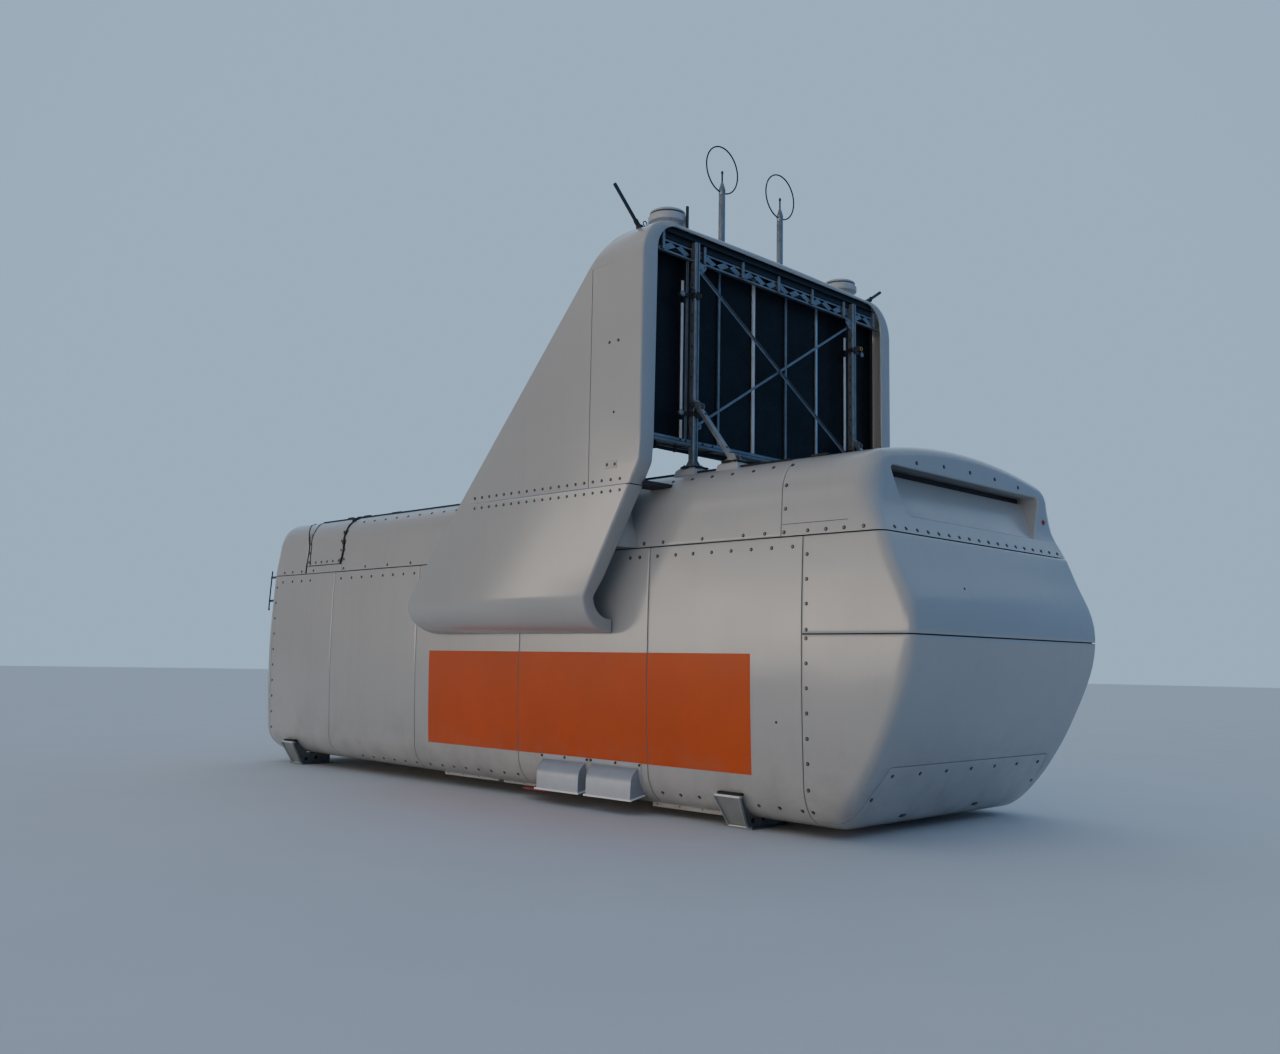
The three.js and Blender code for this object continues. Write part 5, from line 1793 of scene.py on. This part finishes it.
def bolt_tree():
    """A node tree that puts a washer and a hexagon head on each point, along the point's aim."""
    tree, start = shape_tree("bolt_heads", "Places", "Bolts",
                             {"Washer radius": "Float", "Head radius": "Float", "Head height": "Float"})
    aim = add_node(tree, "GeometryNodeInputNamedAttribute", {"Name": "aim"}, data_type="FLOAT_VECTOR")
    ahead = {"Vector": aim.outputs["Attribute"]}
    upright = add_node(tree, "FunctionNodeAlignRotationToVector", ahead, axis="Z")
    chance = add_node(tree, "FunctionNodeRandomValue", data_type="FLOAT")
    chance.inputs["Max"].default_value = math.tau
    chance.inputs["Seed"].default_value = 7
    spin = add_node(tree, "FunctionNodeAxisAngleToRotation", {"Axis": UP, "Angle": chance.outputs["Value"]})
    turns = {"Rotation": upright.outputs["Rotation"], "Rotate By": spin.outputs["Rotation"]}
    turn = add_node(tree, "FunctionNodeRotateRotation", turns, rotation_space="LOCAL")
    middle = add_node(tree, "ShaderNodeMath", {0: start["Head height"], 1: 0.5}, operation="MULTIPLY")
    rise = add_node(tree, "ShaderNodeCombineXYZ", {"Z": middle.outputs["Value"]})
    bolt = add_node(tree, "GeometryNodeJoinGeometry")
    for radius, sides, height, shift, look in (
            ("Washer radius", 14, 0.004, (0, 0, 0.0015), "Bolt dark"),
            ("Head radius", 6, start["Head height"], rise.outputs["Vector"], "Bolt steel")):
        sizes = {"Vertices": sides, "Radius": start[radius], "Depth": height}
        shape = add_node(tree, "GeometryNodeMeshCylinder", sizes).outputs["Mesh"]
        move = add_node(tree, "GeometryNodeTransform", {"Geometry": shape, "Translation": shift})
        tree.links.new(painted(tree, move.outputs["Geometry"], look), bolt.inputs["Geometry"])
    real = copies(tree, start["Places"], bolt.outputs["Geometry"], Rotation=turn.outputs["Rotation"])
    add_node(tree, "NodeGroupOutput", {"Bolts": real})
    return tree


def bolts(name, places, tree, scale=1.0):
    """One piece of bolts from (point, direction) pairs."""
    sizes = bpy.context.scene.nacelle_bolts
    mesh = bpy.data.meshes.new(name)
    mesh.from_pydata([tuple(at) for at, _ in places], [], [])
    aims = [c for _, aim in places for c in aim]
    mesh.attributes.new("aim", "FLOAT_VECTOR", "POINT").data.foreach_set("vector", aims)
    values = {"Washer radius": sizes.washer_radius * scale, "Head radius": sizes.head_radius * scale,
              "Head height": sizes.head_height * scale}
    return apply_tree(name, mesh, tree, values)


WAIST_UPPER = (-5.82, -5.55, -5.25, -4.875, -3.95, -3.32, -2.71, -2.10, -1.49, -0.88, -0.27, 0.34, 0.95, 1.56,
               2.17, 2.73, 3.04, 3.65, 4.25, 4.55, 4.81, 5.12, 5.35, 5.575, 5.81)
WAIST_LOWER = (-5.85, -5.53, -5.23, -4.95, -4.00, -3.69, -3.40, -3.12, -2.81, -2.54, -2.26, -1.98, -1.70, -1.41,
               -1.13, -0.84, -0.56, -0.27, 0.02, 0.30, 0.66, 0.95, 1.23, 1.52, 1.80, 2.09, 2.51, 2.67, 2.96,
               3.25, 3.52, 3.80, 4.085, 4.37, 4.65, 4.93)
LOW_ROW = ((-3.40, 0.268), (-3.10, 0.268), (-2.82, 0.268), (-2.53, 0.267), (-2.243, 0.267), (-1.951, 0.269),
           (-1.605, 0.272), (-1.310, 0.274), (-1.040, 0.276), (-0.753, 0.278), (-0.469, 0.280), (-0.186, 0.282),
           (0.097, 0.284), (0.387, 0.287), (2.999, 0.283), (3.280, 0.280), (3.567, 0.284), (4.411, 0.273),
           (4.691, 0.275), (4.986, 0.273))
REAR_COLUMN = (2.907, 2.648, 2.393, 2.125, 2.035, 1.780, 1.527, 1.272, 1.015, 0.763, 0.498, 0.272)


class NACELLE_OT_bolts(bpy.types.Operator):
    """Put the bolts on the housing, the rear end and the fairings."""

    bl_idname = "nacelle.bolts"
    bl_label = "Bolts"

    def execute(self, context):
        tree = bolt_tree()
        for side, sign in SIDES:
            bolts(f"housing_bolts_{side}", self.housing_places(sign), tree)
            self.fairing_bolts(side, sign, tree)
        rear = [(-1.124, 3.906), (-0.566, 3.939), (0.0, 3.946), (0.562, 3.940), (1.121, 3.908)]
        rear += [(y, 3.158) for y in steps(-1.794, 1.794, 17)]
        rear += [(y, 0.668) for y in steps(-1.565, 1.565, 6)] + [(-1.705, 0.431), (1.705, 0.431)]
        bolts("rear_bolts", [on_rear(y, z) for y, z in rear], tree)
        return {"FINISHED"}

    def housing_places(self, sign):
        """The bolts of one side, in rows along the seams, round the hatch and over the roof."""
        wall = [(x, 3.155) for x in WAIST_UPPER] + [(x, 2.995) for x in WAIST_LOWER]
        wall += [(5.120, z) for z in REAR_COLUMN] + [(-6.030, z) for z in steps(0.571, 2.911, 9)]
        wall += [(4.820, 3.406), (4.820, 3.66)]
        places = [on_side(x, z, sign) for x, z in wall]
        places += [on_roof(4.80, sign * 1.885), on_roof(4.54, sign * 1.885)]
        places += [on_side(x, z, sign) for x, z in LOW_ROW]
        for x in steps(-3.64, 4.27, 26):
            places.append(on_roof(x, sign * (ROOF_EDGE_Y + 0.170)))
            if x > 2.4 or x < -0.6:
                places.append(on_roof(x + 0.14, sign * (ROOF_EDGE_Y - 0.062)))
        within = (HATCH_SEAM_X - 0.055, CAP_SEAM_X + 0.055)
        for z in steps(3.30, 3.75, 3):
            places += [on_side(x, z, sign) for x in (*within, HATCH_SEAM_X + 0.055)]
        for y in (1.75, 1.60, 1.30, 1.0, 0.7, 0.4, 0.12):
            places += [on_roof(x, sign * y) for x in within]
        return places + [on_side(x, 3.285, sign) for x in steps(-5.0, -4.12, 5)]

    def fairing_bolts(self, side, sign, tree):
        """Two rows along the fairing's seam, and the small plate above them with its own two."""
        skin, plate = HOOD_Y + 0.001, HOOD_Y + 0.001 + 0.006
        rows = [(x, skin, z) for z in (3.727, 3.860) for x in steps(0.115, 2.845, 18)
                if z < 3.8 or abs(x - FAIRING_SEAM_X) > 0.05]
        rows += [(2.627, skin, 5.503), (2.776, skin, 5.505), (2.630, plate, 4.040), (2.760, plate, 4.036)]
        out = Vector((0, sign, 0))
        bolts(f"fairing_bolts_{side}", [(Vector((x, sign * y, z)), out) for x, y, z in rows], tree, 0.9)
        kit = Kit()
        kit.side_box(sign, (2.600, skin, 3.996), (2.790, plate, 4.080), "Gelcoat", 0.002)
        kit.finish(f"fairing_plate_{side}")


class NACELLE_OT_frame_finish(bpy.types.Operator):
    """Give the CAD nodes that still show their own finishes; the upper fairing brackets get dark steel as painted
    shade under the roof's edge.
    """

    bl_idname = "nacelle.frame_finish"
    bl_label = "Finish of the plain nodes"

    def execute(self, context):
        for name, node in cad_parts.items():
            if node.hide_render:
                continue
            # Painted shade: the upper fairing brackets are dark steel for the shadow under the roof's edge; all
            # others are gelcoat.
            painted_shade_bracket = name.startswith("fairing_bracket") and name.endswith("upper")
            material = finish_material("Dark steel" if painted_shade_bracket else "Gelcoat")
            if not node.material_slots:
                node.data.materials.append(material)
            for row in node.material_slots:
                row.material = material
        return {"FINISHED"}


# Stage


def surroundings(strength):
    """A pale room that is brightest low down on the near side, with a cool, pale patch behind the object."""
    world = bpy.data.worlds.new("Pale surroundings")
    world.use_nodes = True
    tree = world.node_tree
    towards = add_node(tree, "ShaderNodeTexCoord").outputs["Generated"]

    def facing(direction, low, high):
        dot = add_node(tree, "ShaderNodeVectorMath", operation="DOT_PRODUCT")
        tree.links.new(towards, dot.inputs[0])
        dot.inputs[1].default_value = Vector(direction).normalized()
        ends = {"Value": dot.outputs["Value"], "From Min": low, "From Max": high}
        return add_node(tree, "ShaderNodeMapRange", ends, interpolation_type="SMOOTHSTEP").outputs["Result"]

    room = mixed(tree, facing((-0.60, -0.80, 0.0), -0.9, 0.9), (0.060, 0.19, 0.43), (0.17, 0.185, 0.21))
    room = mixed(tree, facing((-0.70, 0.70, 0.10), 0.30, 0.90), room, (0.36, 0.53, 0.74))
    low, near = facing((0, 0, -1), -0.24, -0.03), facing((-0.12, -0.99, 0.0), 0.63, 0.80)
    glow = add_node(tree, "ShaderNodeMath", {0: near, 1: low}, operation="MULTIPLY").outputs["Value"]
    background = tree.nodes["Background"]
    background.inputs["Strength"].default_value = strength
    tree.links.new(mixed(tree, glow, room, (4.2, 3.6, 3.0)), background.inputs["Color"])
    return world


def photo_camera(lens):
    """The camera that sees the object as the photo does."""
    (cos_yaw, sin_yaw), (cos_pitch, sin_pitch), (cos_roll, sin_roll) = map(turned, CAMERA_ANGLES)
    ahead = Vector((-sin_yaw * cos_pitch, cos_yaw * cos_pitch, sin_pitch))
    right = Vector((cos_yaw, sin_yaw, 0))
    up = right.cross(ahead)
    data = bpy.data.cameras.new("photo_view")
    data.sensor_fit = "HORIZONTAL"
    data.sensor_width = 36
    data.lens = lens
    data.clip_end = 400
    camera = placed("photo_view", data)
    turn = Matrix((right * cos_roll + up * sin_roll, up * cos_roll - right * sin_roll, -ahead)).transposed()
    camera.matrix_world = Matrix.Translation(CAMERA_AT) @ turn.to_4x4()
    return camera


class NACELLE_OT_stage(bpy.types.Operator):
    """Make the pale floor, the soft lights and the camera."""

    bl_idname = "nacelle.stage"
    bl_label = "Stage, lights and camera"

    def execute(self, context):
        scene = context.scene
        look = scene.nacelle_stage
        bm = bmesh.new()
        bmesh.ops.create_circle(bm, cap_ends=True, radius=140, segments=96)
        mesh = as_mesh("studio_floor", bm)
        mesh.materials.append(finish_material("Studio floor"))
        floor = placed("studio_floor", mesh)

        scene.world = surroundings(look.sky)

        lights = (
            ("key", (-6, -17, 9), look.key, 60, (1.0, 0.95, 0.89)),
            ("overhead", (1, 3, 20), look.overhead, 120, (0.90, 0.95, 1.0)),
        )
        for name, at, power, angle, tint in lights:
            data = bpy.data.lights.new(name, "SUN")
            data.angle = math.radians(angle)
            data.energy = power
            data.color = tint
            lamp = placed(name, data)
            lamp.location = at
            lamp.rotation_euler = (-Vector(at)).to_track_quat("-Z", "Y").to_euler()

        scene.camera = photo_camera(look.lens)
        return {"FINISHED"}


OPERATORS = (
    NACELLE_OT_panels,
    NACELLE_OT_rear_cap,
    NACELLE_OT_sealant,
    NACELLE_OT_fairings,
    NACELLE_OT_radiators,
    NACELLE_OT_steel_frame,
    NACELLE_OT_top_gear,
    NACELLE_OT_hub,
    NACELLE_OT_underside,
    NACELLE_OT_orange_field,
    NACELLE_OT_strips,
    NACELLE_OT_bolts,
    NACELLE_OT_frame_finish,
    NACELLE_OT_stage,
)


class NACELLE_PT_panel(bpy.types.Panel):
    """Lists the steps that build the nacelle and the sizes that they read."""

    bl_idname = "NACELLE_PT_panel"
    bl_label = "Nacelle"
    bl_space_type = "VIEW_3D"
    bl_region_type = "UI"
    bl_category = "Nacelle"

    def draw(self, context):
        for name, group in SETTINGS.items():
            box = self.layout.box()
            for key in group.__annotations__:
                box.prop(getattr(context.scene, name), key)
        for operator in OPERATORS:
            self.layout.operator(operator.bl_idname)


CLASSES = (*SETTINGS.values(), *OPERATORS, NACELLE_PT_panel)


def register():
    for cls in CLASSES:
        bpy.utils.register_class(cls)
    for name, group in SETTINGS.items():
        setattr(bpy.types.Scene, name, bpy.props.PointerProperty(type=group))


def unregister():
    for name in SETTINGS:
        delattr(bpy.types.Scene, name)
    for cls in reversed(CLASSES):
        bpy.utils.unregister_class(cls)


def main():
    register()
    for operator in OPERATORS:
        group, name = operator.bl_idname.split(".")
        getattr(getattr(bpy.ops, group), name)()


if __name__ == "__main__":
    main()
